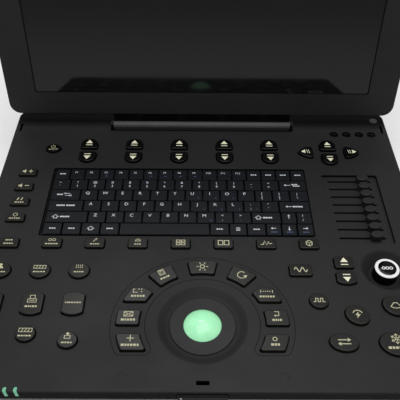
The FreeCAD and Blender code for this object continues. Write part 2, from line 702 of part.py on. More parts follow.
def slider_panel():
    left, front, right, back = PANEL
    low, top = skin_under - FLANGE_THICK, d.deck_top - d.slider_drop
    x, y = (left + right) / 2, float(along((front + back) / 2))
    plate = rectangle(x, y, right - left, back - front, -0.05).solid(low, top, 2.0)
    flange = rectangle(x, y, right - left, back - front, FLANGE).solid(low, skin_under, 4.0)
    middle = d.slider_left + d.slider_length / 2
    slots = [rectangle(float(middle), float(along(d.slider_back - d.slider_pitch * i)),
                       float(d.slider_length), 2.2).solid(low - 1.0, top + 1.0, 1.0) for i in range(8)]
    return feature("slider_panel", plate.fuse(flange).removeSplitter().cut(Part.makeCompound(slots)))


SLIDER_CAP = (10.4, 7.5)
SLIDER_RISE = 3.8


def slider(index):
    """A slider cap on its stem, which reaches through the slot."""
    y = float(along(d.slider_back - d.slider_pitch * index))
    x = float(d.slider_rest)
    low = d.deck_top - d.slider_drop + 0.3
    top = d.deck_top + SLIDER_RISE
    cap = oval(x, y, *SLIDER_CAP).solid(low, top, 0.0)
    crown = [e for e in cap.Edges if level_at(top)(e)]
    stem = rectangle(x, y, 6.0, 1.4).solid(low - 9.0, low + 0.5, 0.3)
    return feature(f"slider_{index + 1}", cap.makeFillet(0.8, crown).fuse(stem).removeSplitter())


KEY_ROWS = [
    [1.0] * 17,
    [1.0] * 13 + [1.6],
    [1.7] + [1.0] * 12 + [1.07],
    [1.97] + [1.0] * 11 + [1.75],
    [2.31] + [1.0] * 9 + [1.64] + [0.85] * 2,
    [1.0] * 4 + [4.75, 1.02, 0.93, 1.0, 0.82, 0.82, 0.88],
]
LETTER_GAP, LETTER_LOW, LETTER_RISE = 0.45, 3.8, 1.3


def letter_keys():
    """The letter keyboard: six rows of low caps, from the back."""
    wide = float(d.board_right - d.board_left)
    deep = float(d.board_pitch)
    solids = []
    for row, widths in enumerate(KEY_ROWS):
        y = float(along(d.board_front)) + deep * (5.5 - row)
        x = float(d.board_left)
        for share in widths:
            size = wide * share / sum(widths)
            outline = rectangle(x + size / 2, y, size, deep, -LETTER_GAP)
            solid = outline.solid(d.deck_top - LETTER_LOW, d.deck_top + LETTER_RISE, 0.9)
            rim = [e for e in solid.Edges if level_at(d.deck_top + LETTER_RISE)(e)]
            solids.append(solid.makeChamfer(0.5, rim))
            x += size
    return feature("letter_keys", Part.makeCompound(solids))


def keyboard_tray():
    low, floor = d.deck_top - 7.0, d.deck_top - 5.6
    inner = keyboard_outline(0.1).solid(floor, skin_under + 1.0, 1.4)
    outer = keyboard_outline(FLANGE).solid(low, skin_under, 4.0)
    return feature("keyboard_tray", outer.cut(inner))


# ---------------------------------------------------------------- base: hinge, latch and small pieces
EAR_THICK, EAR_INSET, PIN_REACH = 2.0, 0.3, 12.0


def hinge_block():
    """A trough let into the deck, with an ear and a pin at each end for the lid's barrel."""
    wide, front, deep = HINGE_WELL
    low = d.deck_top - 6.0
    trough = centred_box("trough_body", 0.0, along(front + deep / 2), low, wide - 0.3, deep - 0.3, 6.0)
    pocket = centred_box("trough_pocket", 0.0, along(front + deep / 2), low + 1.6, wide - 3.0, deep - 1.8, 6.0)
    shell = cut("trough", trough, [pocket])
    pieces = [shell]
    inner = d.barrel_length / 2 + 0.5
    for side in (-1, 1):
        left = inner if side > 0 else -inner - EAR_THICK
        pieces.append(cross_cylinder(f"ear_head_{side + 1}", left, along(d.hinge_y), hinge_z,
                                     d.barrel_radius, EAR_THICK))
        pieces.append(box(f"ear_post_{side + 1}", left, along(front + EAR_INSET), low + 0.8,
                          EAR_THICK, d.hinge_y + d.barrel_radius - front - EAR_INSET, hinge_z - low - 0.8))
        start = inner - PIN_REACH if side > 0 else -inner - 1.0
        pieces.append(cross_cylinder(f"pin_{side + 1}", start, along(d.hinge_y), hinge_z,
                                     d.pin_radius, PIN_REACH + 1.0))
    return fuse("hinge_block", pieces)


def front_latch():
    """The release tab in the front band, with its stem behind it."""
    wide, tall = LATCH_TAB
    z = d.deck_top - LATCH_FOOT + 0.4
    tab = centred_box("tab_head", 0.0, along(0.4), z, wide, 4.4, tall)
    soft = rounded("tab_soft", tab, 1.0, lambda e: level_front(e, float(along(0.4)) - 2.2))
    stem = box("tab_stem", -6.0, along(2.4), z + 1.4, 12.0, 1.6, 3.0)
    return fuse("front_latch", [soft, stem])


def small_pieces():
    made = []
    pad = oval(PAD_X, float(along(PAD_Y)), PAD_WIDE, PAD_DEEP, grow=-0.05)
    made.append(caps("corner_pad", [pad], low=skin_under, high=d.deck_top + 0.7, edge=0.5))
    made.append(group("status_lights", [led_block(f"light_{i}", x, 0.0) for i, x in enumerate(LED_X)]))
    feet = [turned(f"foot_{i}", [(0.0, 0.0), (d.foot_radius - 1.0, 0.0), (d.foot_radius, 0.8),
                                 (d.foot_radius - 0.6, d.foot_height), (0.0, d.foot_height)],
                   x, along(y), 0.0) for i, (x, y) in enumerate(FEET)]
    made.append(group("feet", feet))
    low = d.foot_height
    screws = []
    for i, (x, y) in enumerate(SCREWS):
        head = cylinder(f"head_{i}", x, along(y), low + 0.0, SCREW_HEAD, SCREW_SINK - 0.6)
        shank = cylinder(f"shank_{i}", x, along(y), low + 1.0, SCREW_SHANK, 9.0)
        slot_a = centred_box(f"slot_a_{i}", x, along(y), low - 1.0, 3.6, 0.8, 1.9)
        slot_b = centred_box(f"slot_b_{i}", x, along(y), low - 1.0, 0.8, 3.6, 1.9)
        screws.append(cut(f"screw_{i}", fuse(f"screw_body_{i}", [head, shank]), [slot_a, slot_b]))
    made.append(group("bottom_screws", screws))
    x, y, length, width, height = BATTERY
    pack = box("battery_block", x, along(y), low + 0.2, length, width, height)
    grip = centred_box("battery_grip", 0.0, along(y + 10.0), low - 1.0, 60.0, 6.0, 3.0)
    soft = rounded("battery_soft", pack, 2.0, upright)
    made.append(cut("battery_pack", soft, [grip]))
    board = box("board_plate", -150.0, along(26.0), 28.0, 300.0, 236.0, 1.6)
    clear = [cylinder("board_ball", 0.0, ball_at, 20.0, d.collar_radius + 1.0, 20.0),
             cylinder("board_knob", d.knob_x, along(d.knob_y), 20.0, 6.0, 20.0)]
    made.append(cut("main_board", board, clear))
    return made


SOCKETS = (-78.0, -12.0)
SOCKET_WIDE, SOCKET_TALL, SOCKET_DEEP = 58.0, 19.0, 14.0
SOCKET_MOUTH_WIDE, SOCKET_MOUTH_TALL = 50.0, 12.0
PORTS = [("power_inlet", 40.0, 10.0, 10.0, True), ("usb_a", 58.0, 14.0, 6.2, False),
         ("usb_b", 76.0, 14.0, 6.2, False), ("video_port", 95.0, 16.0, 6.2, False)]
PORT_DEEP = 10.0
PORT_AXIS = 20.0


def rear_pieces():
    """The plate across the back with the probe sockets and the cable ports."""
    x, length = REAR_WINDOW
    back = along(d.deck_depth) - 3.4
    z = WINDOW_FLOOR
    plate = box("rear_plate", x + 0.2, back - 2.0, z + 0.2, length - 0.4, 2.0, window_height - 0.4)
    middle = PORT_AXIS
    openings = []
    shrouds = []
    for i, place_x in enumerate(SOCKETS):
        openings.append(centred_box(f"socket_window_{i}", place_x, back, middle - SOCKET_TALL / 2,
                                    SOCKET_WIDE, 10.0, SOCKET_TALL))
        outer = box(f"socket_outer_{i}", place_x - SOCKET_WIDE / 2, back - SOCKET_DEEP, middle - SOCKET_TALL / 2,
                    SOCKET_WIDE, SOCKET_DEEP + 1.2, SOCKET_TALL)
        soft = rounded(f"socket_soft_{i}", outer, 2.4,
                       lambda e: abs(e.Vertexes[0].Y - e.Vertexes[-1].Y) > 1.0)
        mouth = box(f"socket_mouth_{i}", place_x - SOCKET_MOUTH_WIDE / 2, back - SOCKET_DEEP + 2.5,
                    middle - SOCKET_MOUTH_TALL / 2, SOCKET_MOUTH_WIDE, SOCKET_DEEP, SOCKET_MOUTH_TALL)
        tongue = box(f"socket_tongue_{i}", place_x - 21.0, back - SOCKET_DEEP + 1.0, middle - 1.6, 42.0, 9.0, 3.2)
        shrouds.append(fuse(f"socket_{i}", [cut(f"socket_case_{i}", soft, [mouth]), tongue]))
    housings = []
    for name, place_x, wide, tall, turned_port in PORTS:
        outer = box(f"{name}_outer", place_x - wide / 2, back - PORT_DEEP, middle - tall / 2,
                    wide, PORT_DEEP + 0.6, tall)
        openings.append(centred_box(f"{name}_window", place_x, back, middle - tall / 2, wide, 10.0, tall))
        if turned_port:
            mouth = add("Part::Cylinder", f"{name}_mouth")
            bind(mouth, Radius=3.9, Height=PORT_DEEP)
            mouth.Placement = Placement(Vector(0, 0, 0), Rotation(Vector(1, 0, 0), -90))
            place(mouth, place_x, back - PORT_DEEP + 2.0, middle)
        else:
            mouth = box(f"{name}_mouth", place_x - wide / 2 + 0.8, back - PORT_DEEP + 2.0, middle - tall / 2 + 0.8,
                        wide - 1.6, PORT_DEEP, tall - 1.6)
        housings.append(cut(name, outer, [mouth]))
    panel = group("rear_panel", [cut("rear_sheet", plate, openings)] + housings)
    return [panel, group("probe_sockets", shrouds)]


# ---------------------------------------------------------------- lid
# The lid is drawn flat with its hinge axis on X: Y runs up the lid, Z out of its face.
def lean(obj):
    """Stands a lid piece up on the hinge axis at its rest angle."""
    obj.Placement = Placement(Vector(0, float(along(d.hinge_y)), float(hinge_z)),
                              Rotation(Vector(1, 0, 0), float(d.lid_lean)))
    obj.setExpression("Placement.Base.y", along(d.hinge_y).text)
    obj.setExpression("Placement.Base.z", hinge_z.text)
    obj.setExpression("Placement.Rotation.Angle", d.lid_lean.text)
    return obj


lid_length = d.lid_end - d.lid_start
LID_CORNER, LID_BACK_EDGE = 10.0, 4.5
LCD_LAP, LCD_THICK = 4.0, 7.0


def lid_slab(name, top, thick, inset, corner):
    half = d.deck_width / 2 + d.lid_overhang - inset
    block = box(f"{name}_block", -half, d.lid_start + inset, top - thick, 2 * half, lid_length - 2 * inset, thick)
    return rounded(f"{name}_round", block, corner, upright)


def lid_pieces():
    face = -d.lid_face
    seam = face - d.bezel_thick
    back = face - d.lid_thick
    slab = lid_slab("lid_back", seam, d.lid_thick - d.bezel_thick, 0.0, LID_CORNER)
    soft = rounded("lid_back_soft", slab, LID_BACK_EDGE, level_at(float(back)))
    cavity = lid_slab("lid_cavity", seam + THROUGH, d.lid_thick - d.bezel_thick - d.lid_wall + THROUGH,
                      d.lid_wall, LID_CORNER - d.lid_wall)
    shell = lean(cut("lid_back", soft, [cavity]))
    frame = lid_slab("bezel", face, d.bezel_thick, 0.0, LID_CORNER)
    soft_frame = rounded("bezel_soft", frame, 1.0, level_at(float(face)))
    window = box("bezel_window", -d.screen_width / 2, d.screen_start, seam - THROUGH,
                 d.screen_width, d.screen_height, d.bezel_thick + 2 * THROUGH)
    bezel = lean(cut("lid_bezel", soft_frame, [rounded("bezel_window_round", window, 2.0, upright)]))
    glass = box("lcd_block", -d.screen_width / 2 - LCD_LAP, d.screen_start - LCD_LAP, seam - LCD_THICK,
                d.screen_width + 2 * LCD_LAP, d.screen_height + 2 * LCD_LAP, LCD_THICK)
    panel = lean(rounded("lcd_panel", glass, 0.5, level_at(float(seam - LCD_THICK))))
    return [shell, bezel, panel]


HOOK_WIDE, HOOK_THICK, HOOK_REACH = 6.4, 1.6, 13.0
NECK_DEPTH = 9.0


def lid_fittings():
    face = -d.lid_face
    rod = cross_cylinder("barrel_rod", -d.barrel_length / 2, 0.0, 0.0, d.barrel_radius, d.barrel_length)
    bore = cross_cylinder("barrel_bore", -d.barrel_length / 2 - 1.0, 0.0, 0.0,
                          d.pin_radius + d.pin_play, d.barrel_length + 2.0)
    rod_piece = lean(cut("hinge_barrel", rod, [bore]))
    block = box("neck_block", -d.barrel_length / 2 + 0.4, 0.0, face - NECK_DEPTH, d.barrel_length - 0.8,
                d.lid_start, NECK_DEPTH - 0.6)
    round_seat = cross_cylinder("neck_seat", -d.barrel_length / 2 - 1.0, 0.0, 0.0,
                                d.barrel_radius, d.barrel_length + 2.0)
    neck_piece = lean(cut("hinge_neck", block, [round_seat]))
    y = d.hinge_y - LATCH_Y
    stalk = centred_box("hook_stalk", 0.0, y, face, HOOK_WIDE, HOOK_THICK, HOOK_REACH)
    barb = centred_box("hook_barb", 0.0, y + 0.2, face + HOOK_REACH - 2.4, HOOK_WIDE, HOOK_THICK + 0.4, 2.4)
    foot = centred_box("hook_foot", 0.0, y, face, 12.0, 4.4, 0.8)
    hook = lean(fuse("lid_hook", [stalk, barb, foot]))
    bumpers = [caps(f"bumper_{i}", [oval(x, y, 11.0, 5.0)], low=face, high=face + 1.6, edge=0.6)
               for i, (x, y) in enumerate([(-150.0, 269.4), (150.0, 269.4)])]
    return [rod_piece, neck_piece, hook, lean(group("lid_bumpers", bumpers))]


# ---------------------------------------------------------------- build, check and write
def build():
    pieces = [lower_shell(), deck(), arc_bezel(), slider_panel(), keyboard_tray(), hinge_block()]
    pieces += trackball_pieces() + knob_pieces() + small_pieces() + rear_pieces()
    pieces += lid_pieces() + lid_fittings()
    pieces += [front_latch(), letter_keys()]
    pieces += [slider(i) for i in range(8)]
    pieces += [caps(name, outlines_of(name)) for name in KEYS]
    pieces += [caps(name, [arc_key(side, 0.0, **extra)]) for name, (side, extra) in ARC_KEYS.items()]
    return pieces


nodes = build()
doc.recompute()
for obj in doc.Objects:
    if "Invalid" in obj.State or "Error" in obj.State:
        raise RuntimeError(f"{obj.Name} did not build: {obj.State}")
for piece in nodes:
    piece.Label = piece.Name
    if piece.Shape.isNull() or not piece.Shape.isValid():
        raise RuntimeError(f"{piece.Name} has no valid shape")
    if piece.Shape.Volume <= 0:
        raise RuntimeError(f"{piece.Name} has no volume")
for piece in nodes:
    piece.Shape.exportStep(f"parts/{piece.Name}.step")

everything = Part.makeCompound([piece.Shape for piece in nodes]).BoundBox
print(len(nodes), "nodes; box", [round(v, 2) for v in (everything.XMin, everything.XMax, everything.YMin,
                                                      everything.YMax, everything.ZMin, everything.ZMax)])
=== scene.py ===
import json
import math

import bmesh
import bpy
from mathutils import Matrix, Vector


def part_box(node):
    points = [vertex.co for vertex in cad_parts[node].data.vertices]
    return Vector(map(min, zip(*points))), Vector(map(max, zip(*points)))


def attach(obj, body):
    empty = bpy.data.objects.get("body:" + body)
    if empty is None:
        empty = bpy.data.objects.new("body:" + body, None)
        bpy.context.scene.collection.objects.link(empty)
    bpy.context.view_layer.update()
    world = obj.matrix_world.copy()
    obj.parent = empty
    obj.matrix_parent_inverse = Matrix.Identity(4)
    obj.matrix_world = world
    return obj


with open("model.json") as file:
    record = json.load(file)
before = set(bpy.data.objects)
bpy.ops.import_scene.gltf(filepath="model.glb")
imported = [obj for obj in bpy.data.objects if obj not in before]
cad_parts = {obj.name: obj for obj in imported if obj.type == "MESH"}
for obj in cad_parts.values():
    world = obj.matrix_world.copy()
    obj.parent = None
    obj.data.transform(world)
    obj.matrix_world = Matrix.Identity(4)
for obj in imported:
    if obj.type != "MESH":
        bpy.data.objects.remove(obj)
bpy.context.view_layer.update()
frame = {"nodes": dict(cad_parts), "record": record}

# A laptop-style ultrasound console: the finishes of its pieces, the legends printed on its keys, and a few
# small pieces, such as the knob's white ring and the gold contacts of the probe sockets. Blender's own unit
# is the metre, and legends and profiles are drawn in millimetres.
MM = 0.001
scene = bpy.context.scene
scene.view_settings.view_transform = "Standard"
nodes = frame["nodes"]
body_of_node = {n: b for b, names in frame["record"]["behaviour"]["bodies"].items() for n in names}


# ---------------------------------------------------------------- materials
# Nearly all of a noise's values lie between these two.
NOISE_LOW, NOISE_HIGH = 0.35, 0.65


class Shader:
    """A Principled material with its noise, colour and bump nodes. Constants go straight to its sockets."""

    def __init__(self, name, **constants):
        self.material = bpy.data.materials.new(name)
        self.material.use_nodes = True
        self.nodes = self.material.node_tree.nodes
        self.links = self.material.node_tree.links
        self.nodes.clear()
        output = self.nodes.new("ShaderNodeOutputMaterial")
        self.surface = self.nodes.new("ShaderNodeBsdfPrincipled")
        self.links.new(self.surface.outputs["BSDF"], output.inputs["Surface"])
        self.place = self.nodes.new("ShaderNodeTexCoord").outputs["Object"]
        self.bumps = []
        for key, value in constants.items():
            self.surface.inputs[key.replace("_", " ")].default_value = value

    def stretched(self, scale):
        """Object coordinates scaled along each axis."""
        mapping = self.nodes.new("ShaderNodeMapping")
        mapping.inputs["Scale"].default_value = scale
        self.links.new(self.place, mapping.inputs["Vector"])
        return mapping.outputs["Vector"]

    def noise(self, per_metre, detail=2.0, roughness=0.5, stretch=None):
        """Cloudy noise with about per_metre clouds to the metre."""
        node = self.nodes.new("ShaderNodeTexNoise")
        node.inputs["Scale"].default_value = per_metre
        node.inputs["Detail"].default_value = detail
        node.inputs["Roughness"].default_value = roughness
        self.links.new(self.stretched(stretch) if stretch else self.place, node.inputs["Vector"])
        return node.outputs["Fac"]

    def cells(self, per_metre):
        """Rounded cells, as of spark-eroded or blasted grain."""
        node = self.nodes.new("ShaderNodeTexVoronoi")
        node.feature = "SMOOTH_F1"
        node.inputs["Scale"].default_value = per_metre
        node.inputs["Smoothness"].default_value = 1.0
        self.links.new(self.place, node.inputs["Vector"])
        return node.outputs["Distance"]

    def spread(self, source, low, high, start, stop):
        """Takes values between start and stop to numbers between low and high."""
        node = self.nodes.new("ShaderNodeMapRange")
        for name, value in (("From Min", start), ("From Max", stop), ("To Min", low), ("To Max", high)):
            node.inputs[name].default_value = value
        self.links.new(source, node.inputs["Value"])
        return node.outputs["Result"]

    def colour(self, source, low, high, start=NOISE_LOW, stop=NOISE_HIGH):
        """Sets the colour, from low to high as the source goes from start to stop."""
        node = self.nodes.new("ShaderNodeValToRGB")
        first, last = node.color_ramp.elements
        first.position, last.position = start, stop
        first.color, last.color = (*low, 1.0), (*high, 1.0)
        self.links.new(source, node.inputs["Fac"])
        self.links.new(node.outputs["Color"], self.surface.inputs["Base Color"])

    def rough(self, source, low, high, start=NOISE_LOW, stop=NOISE_HIGH):
        """Sets the roughness, from low to high as the source goes from start to stop."""
        self.links.new(self.spread(source, low, high, start, stop), self.surface.inputs["Roughness"])

    def dim(self, axis, full, clear, factor):
        """Paints shade into the colour and the sheen along an axis: not at all at clear, and by the factor at
        full.
        """
        axes = self.nodes.new("ShaderNodeSeparateXYZ")
        self.links.new(self.place, axes.inputs["Vector"])
        low, high = (factor, 1.0) if full < clear else (1.0, factor)
        level = self.spread(axes.outputs[axis], low, high, min(full, clear), max(full, clear))
        colour, sheen = self.surface.inputs["Base Color"], self.surface.inputs["Specular IOR Level"]
        scaled = self.nodes.new("ShaderNodeVectorMath")
        scaled.operation = "SCALE"
        self.links.new(colour.links[0].from_socket, scaled.inputs["Vector"])
        self.links.new(level, scaled.inputs["Scale"])
        self.links.new(scaled.outputs["Vector"], colour)
        strength = self.nodes.new("ShaderNodeMath")
        strength.operation = "MULTIPLY"
        strength.inputs[1].default_value = sheen.default_value
        if sheen.links:
            self.links.new(sheen.links[0].from_socket, strength.inputs[1])
        self.links.new(level, strength.inputs[0])
        self.links.new(strength.outputs["Value"], sheen)

    def bump(self, source, depth, strength=1.0):
        """Adds relief of a depth in metres."""
        node = self.nodes.new("ShaderNodeBump")
        node.inputs["Distance"].default_value = depth
        node.inputs["Strength"].default_value = strength
        self.links.new(source, node.inputs["Height"])
        if self.bumps:
            self.links.new(self.bumps[-1].outputs["Normal"], node.inputs["Normal"])
        self.bumps.append(node)
        self.links.new(node.outputs["Normal"], self.surface.inputs["Normal"])


def shade(colour, factor):
    """The colour made lighter or darker."""
    return tuple(c * factor for c in colour)


def moulded_plastic(name, colour, roughness, grain=0.7, relief=0.012, specular=0.2, drift=0.12, painted_shades=()):
    """Injection-moulded plastic: spark-eroded grain, slow colour drift and patches of polish from hands.
    grain and relief are in millimetres; each entry of the last argument paints shade towards one end, as
    Shader.dim takes it."""
    shader = Shader(name, Specular_IOR_Level=specular)
    patches = shader.noise(14.0, detail=4.0, roughness=0.6)
    fine = shader.noise(1.0 / (grain * MM), detail=3.0, roughness=0.7)
    shader.colour(patches, shade(colour, 1.0 - drift), shade(colour, 1.0 + drift))
    shader.rough(patches, roughness + 0.05, roughness - 0.05, 0.3, 0.7)
    shader.bump(shader.cells(1.0 / (grain * MM)), relief * MM, 0.7)
    shader.bump(fine, relief * 0.6 * MM, 0.5)
    # Painted shade, where the last argument asks for it.
    for end in painted_shades:
        shader.dim(*end)
    return shader.material


def gloss_plastic(name, colour, roughness=0.16, specular=0.4, drift=0.1):
    """Polished plastic with faint flow waves and hairline scuffs."""
    shader = Shader(name, Specular_IOR_Level=specular)
    waves = shader.noise(45.0, detail=2.0)
    scuffs = shader.noise(600.0, detail=4.0, roughness=0.7, stretch=(0.2, 1.0, 1.0))
    shader.colour(waves, shade(colour, 1.0 - drift), shade(colour, 1.0 + drift))
    shader.rough(scuffs, roughness - 0.03, roughness + 0.07, 0.45, 0.75)
    shader.bump(waves, 0.03 * MM, 0.4)
    return shader.material


def glowing_resin(name, colour, glow, strength, roughness=0.14):
    """Cloudy translucent resin lit from below."""
    shader = Shader(name, Specular_IOR_Level=0.5, Emission_Color=(*glow, 1.0), Emission_Strength=strength)
    clouds = shader.noise(120.0, detail=5.0, roughness=0.65)
    shader.colour(clouds, shade(colour, 0.94), shade(colour, 1.06))
    shader.rough(shader.noise(900.0, detail=2.0), roughness, roughness + 0.06)
    return shader.material


def brushed_metal(name, colour, roughness, along):
    """Metal with its brush lines along one axis, 0 for x."""
    stretch = [1.0, 1.0, 1.0]
    stretch[along] = 0.012
    shader = Shader(name, Metallic=1.0)
    lines = shader.noise(5200.0, detail=3.0, roughness=0.8, stretch=stretch)
    shader.colour(lines, shade(colour, 0.86), shade(colour, 1.14))
    shader.rough(lines, roughness - 0.06, roughness + 0.1)
    shader.bump(lines, 0.006 * MM, 0.6)
    return shader.material


def blasted_aluminium(name, colour, roughness=0.55):
    """Bead-blasted aluminium under a dark grey satin lacquer."""
    shader = Shader(name, Metallic=0.25, Specular_IOR_Level=0.25)
    shader.colour(shader.noise(60.0, detail=3.0), shade(colour, 0.93), shade(colour, 1.07))
    shader.rough(shader.noise(2400.0, detail=2.0), roughness - 0.05, roughness + 0.08)
    shader.bump(shader.cells(3200.0), 0.008 * MM, 0.8)
    return shader.material


def panel_screen(name, colour):
    """The display, switched off: dark glass with a fine anti-glare etch and a trace of wiping."""
    shader = Shader(name, Specular_IOR_Level=0.27)
    wipes = shader.noise(16.0, detail=5.0, roughness=0.55, stretch=(0.35, 1.0, 1.0))
    shader.colour(wipes, shade(colour, 0.92), shade(colour, 1.1))
    shader.rough(wipes, 0.035, 0.075)
    return shader.material


def soft_rubber(name, colour, roughness=0.7):
    """Matt rubber with a little dust in its pores."""
    shader = Shader(name, Specular_IOR_Level=0.3)
    dust = shader.noise(90.0, detail=6.0, roughness=0.7)
    shader.colour(dust, shade(colour, 0.85), shade(colour, 1.25))
    shader.rough(dust, roughness - 0.06, roughness + 0.08)
    shader.bump(shader.noise(2600.0, detail=2.0), 0.02 * MM, 0.6)
    return shader.material


def solder_mask(name, colour):
    """A circuit board's green lacquer with the ghost of its tracks."""
    shader = Shader(name, Specular_IOR_Level=0.5)
    tracks = shader.noise(260.0, detail=1.0, stretch=(1.0, 0.25, 1.0))
    shader.colour(tracks, colour, shade(colour, 1.7), 0.48, 0.54)
    shader.rough(tracks, 0.3, 0.42, 0.48, 0.54)
    shader.bump(tracks, 0.03 * MM, 0.5)
    return shader.material


def printed_ink(name, colour, roughness=0.55):
    """Pad-printed legend ink, a little uneven."""
    shader = Shader(name, Specular_IOR_Level=0.3)
    shader.colour(shader.noise(1500.0, detail=3.0), shade(colour, 0.86), shade(colour, 1.05))
    shader.rough(shader.noise(700.0), roughness - 0.05, roughness + 0.05)
    return shader.material


def pale_floor():
    shader = Shader("floor_paint", Roughness=0.8, Specular_IOR_Level=0.1)
    shader.colour(shader.noise(9.0, detail=4.0), (0.90, 0.90, 0.90), (0.93, 0.93, 0.93))
    return shader.material


deck_low, deck_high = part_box("base_deck")
DECK = (0.0162, 0.0162, 0.0164)
# Painted shade on the deck: the band below its edge is darker, and the strip at the lid's foot carries a
# painted shadow of the lid. Each is an axis, where it is darkest, where it ends, and its factor.
BAND_PAINTED_SHADE = ("Z", deck_high.z - 1.6 * MM, deck_high.z - 0.4 * MM, 0.18)
LID_PAINTED_SHADOW = ("Y", deck_high.y - 16.0 * MM, deck_high.y - 27.0 * MM, 0.25)
FINISHES = {
    "shell_plastic": moulded_plastic("shell_plastic", (0.012, 0.012, 0.0123), 0.55, grain=0.9, relief=0.03),
    "deck_plastic": moulded_plastic("deck_plastic", DECK, 0.48, specular=0.17),
    "trim_plastic": moulded_plastic("trim_plastic", (0.0152, 0.0152, 0.0154), 0.42, grain=0.5, relief=0.008),
    "ring_plastic": moulded_plastic("ring_plastic", (0.0192, 0.0192, 0.0194), 0.6, grain=0.5, relief=0.006,
                                    specular=0.12),
    "bezel_plastic": moulded_plastic("bezel_plastic", (0.0142, 0.0142, 0.0144), 0.45, grain=0.8, relief=0.01),
    "gloss_black": gloss_plastic("gloss_black", (0.0016, 0.0016, 0.0018), 0.14, specular=0.12),
    "key_plastic": moulded_plastic("key_plastic", (0.0086, 0.0084, 0.0073), 0.3, grain=0.4, relief=0.005,
                                   specular=0.26),
    "key_gloss": gloss_plastic("key_gloss", (0.0016, 0.0016, 0.0015), 0.14, specular=0.2),
    "letter_plastic": moulded_plastic("letter_plastic", (0.0042, 0.0053, 0.0076), 0.42, grain=0.4,
                                      relief=0.005),
    "ball_resin": glowing_resin("ball_resin", (0.40, 0.90, 0.53), (0.38, 0.95, 0.50), 0.12),
    "screen": panel_screen("screen", (0.0050, 0.0051, 0.0053)),
    "hinge_metal": blasted_aluminium("hinge_metal", (0.072, 0.072, 0.074)),
    "light_green": glowing_resin("light_green", (0.12, 0.36, 0.22), (0.12, 0.50, 0.30), 0.18, 0.3),
    "rubber": soft_rubber("rubber", (0.014, 0.014, 0.014)),
    "pad_rubber": soft_rubber("pad_rubber", (0.115, 0.115, 0.118), 0.55),
    "screw_steel": brushed_metal("screw_steel", (0.30, 0.30, 0.31), 0.34, 1),
    "battery_plastic": moulded_plastic("battery_plastic", (0.014, 0.014, 0.015), 0.55, grain=1.1,
                                       relief=0.04),
    "socket_plastic": moulded_plastic("socket_plastic", (0.018, 0.018, 0.019), 0.4, grain=0.5, relief=0.01),
    "board": solder_mask("board", (0.010, 0.055, 0.022)),
}
CREAM_INK = printed_ink("cream_ink", (0.52, 0.50, 0.33))
ARROW_INK = printed_ink("arrow_ink", (0.86, 0.84, 0.62))
PALE_INK = printed_ink("pale_ink", (0.62, 0.65, 0.69))
BLUE_INK = printed_ink("blue_ink", (0.055, 0.095, 0.19))
WHITE_INK = printed_ink("white_ink", (0.92, 0.92, 0.92), 0.3)
GOLD = brushed_metal("contact_gold", (0.85, 0.58, 0.22), 0.26, 1)
SMOKED_LENS = gloss_plastic("smoked_lens", (0.0012, 0.0011, 0.0012), 0.2, specular=0.15)
# Nodes whose finish differs from that of their material slot.
NODE_FINISHES = {
    # The deck, with painted shade on its front band and a painted shadow of the lid along its rear strip.
    "base_deck": moulded_plastic("deck_painted_shade", DECK, 0.48, specular=0.17, painted_shades=(BAND_PAINTED_SHADE, LID_PAINTED_SHADOW)),
    "front_latch": moulded_plastic("latch_plastic", (0.0045, 0.0045, 0.0046), 0.5, specular=0.1),
}

for entry in frame["record"]["subparts"]:
    for holder in nodes[entry["node"]].material_slots:
        holder.material = NODE_FINISHES.get(entry["node"], FINISHES[entry["material_slot"]])


# ---------------------------------------------------------------- geometry helpers
# Points nearer than the first are one point; faces nearer than the second are at one height.
WELD, LEVEL_REACH = 1e-6, 1e-5


def islands(node, level=None):
    """The separate solids of a node, or its separate faces at one height, as (lowest, highest corner)."""
    mesh = bmesh.new()
    mesh.from_mesh(nodes[node].data)
    bmesh.ops.remove_doubles(mesh, verts=mesh.verts, dist=WELD)
    if level is not None:
        away = [v for v in mesh.verts if abs(v.co.z - level) > LEVEL_REACH]
        bmesh.ops.delete(mesh, geom=away, context="VERTS")
    seen, found = set(), []
    for start in mesh.verts:
        if start in seen:
            continue
        stack, part = [start], []
        seen.add(start)
        while stack:
            vert = stack.pop()
            part.append(vert.co)
            for edge in vert.link_edges:
                other = edge.other_vert(vert)
                if other not in seen:
                    seen.add(other)
                    stack.append(other)
        low = Vector([min(c[i] for c in part) for i in range(3)])
        high = Vector([max(c[i] for c in part) for i in range(3)])
        found.append((low, high))
    mesh.free()
    return found


# Keys of one row lie within this of each other, front to back.
ROW_REACH = 4.0 * MM


def rows_of(node):
    """A node's solids in rows, back to front and left to right in each."""
    solids = sorted(islands(node), key=lambda box: -(box[0].y + box[1].y))
    rows = []
    for solid in solids:
        y = (solid[0].y + solid[1].y) / 2
        if rows and abs(rows[-1][0] - y) < ROW_REACH:
            rows[-1][1].append(solid)
        else:
            rows.append((y, [solid]))
    return [sorted(row, key=lambda box: box[0].x) for _, row in rows]


def top_of(solid):
    """The middle of a solid's top."""
    low, high = solid
    return Vector(((low.x + high.x) / 2, (low.y + high.y) / 2, high.z))


def finish_mesh(mesh, name, body, material):
    """Makes an object of a bmesh and lets it ride on a body."""
    bmesh.ops.recalc_face_normals(mesh, faces=mesh.faces)
    data = bpy.data.meshes.new(name)
    mesh.to_mesh(data)
    mesh.free()
    data.materials.append(material)
    made = bpy.data.objects.new(name, data)
    scene.collection.objects.link(made)
    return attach(made, body)


def arc_points(x, y, radius, start, stop, count):
    """Points of an arc, with its angles in degrees."""
    step = (stop - start) / (count - 1)
    angles = [math.radians(start + step * i) for i in range(count)]
    return [(x + radius * math.cos(a), y + radius * math.sin(a)) for a in angles]


def ring_points(x, y, radius, count):
    """Points of a full circle, evenly spaced."""
    return arc_points(x, y, radius, 0, 360 - 360 / count, count)


# ---------------------------------------------------------------- printed legends
# Ink reaches from just under the surface to just above it.
INK_LOW, INK_HIGH = -0.03, 0.045
LINE = 0.42
MITRE_LIMIT = 0.3
CIRCLE_POINTS, DOT_POINTS = 20, 12
glyph_meshes = {}


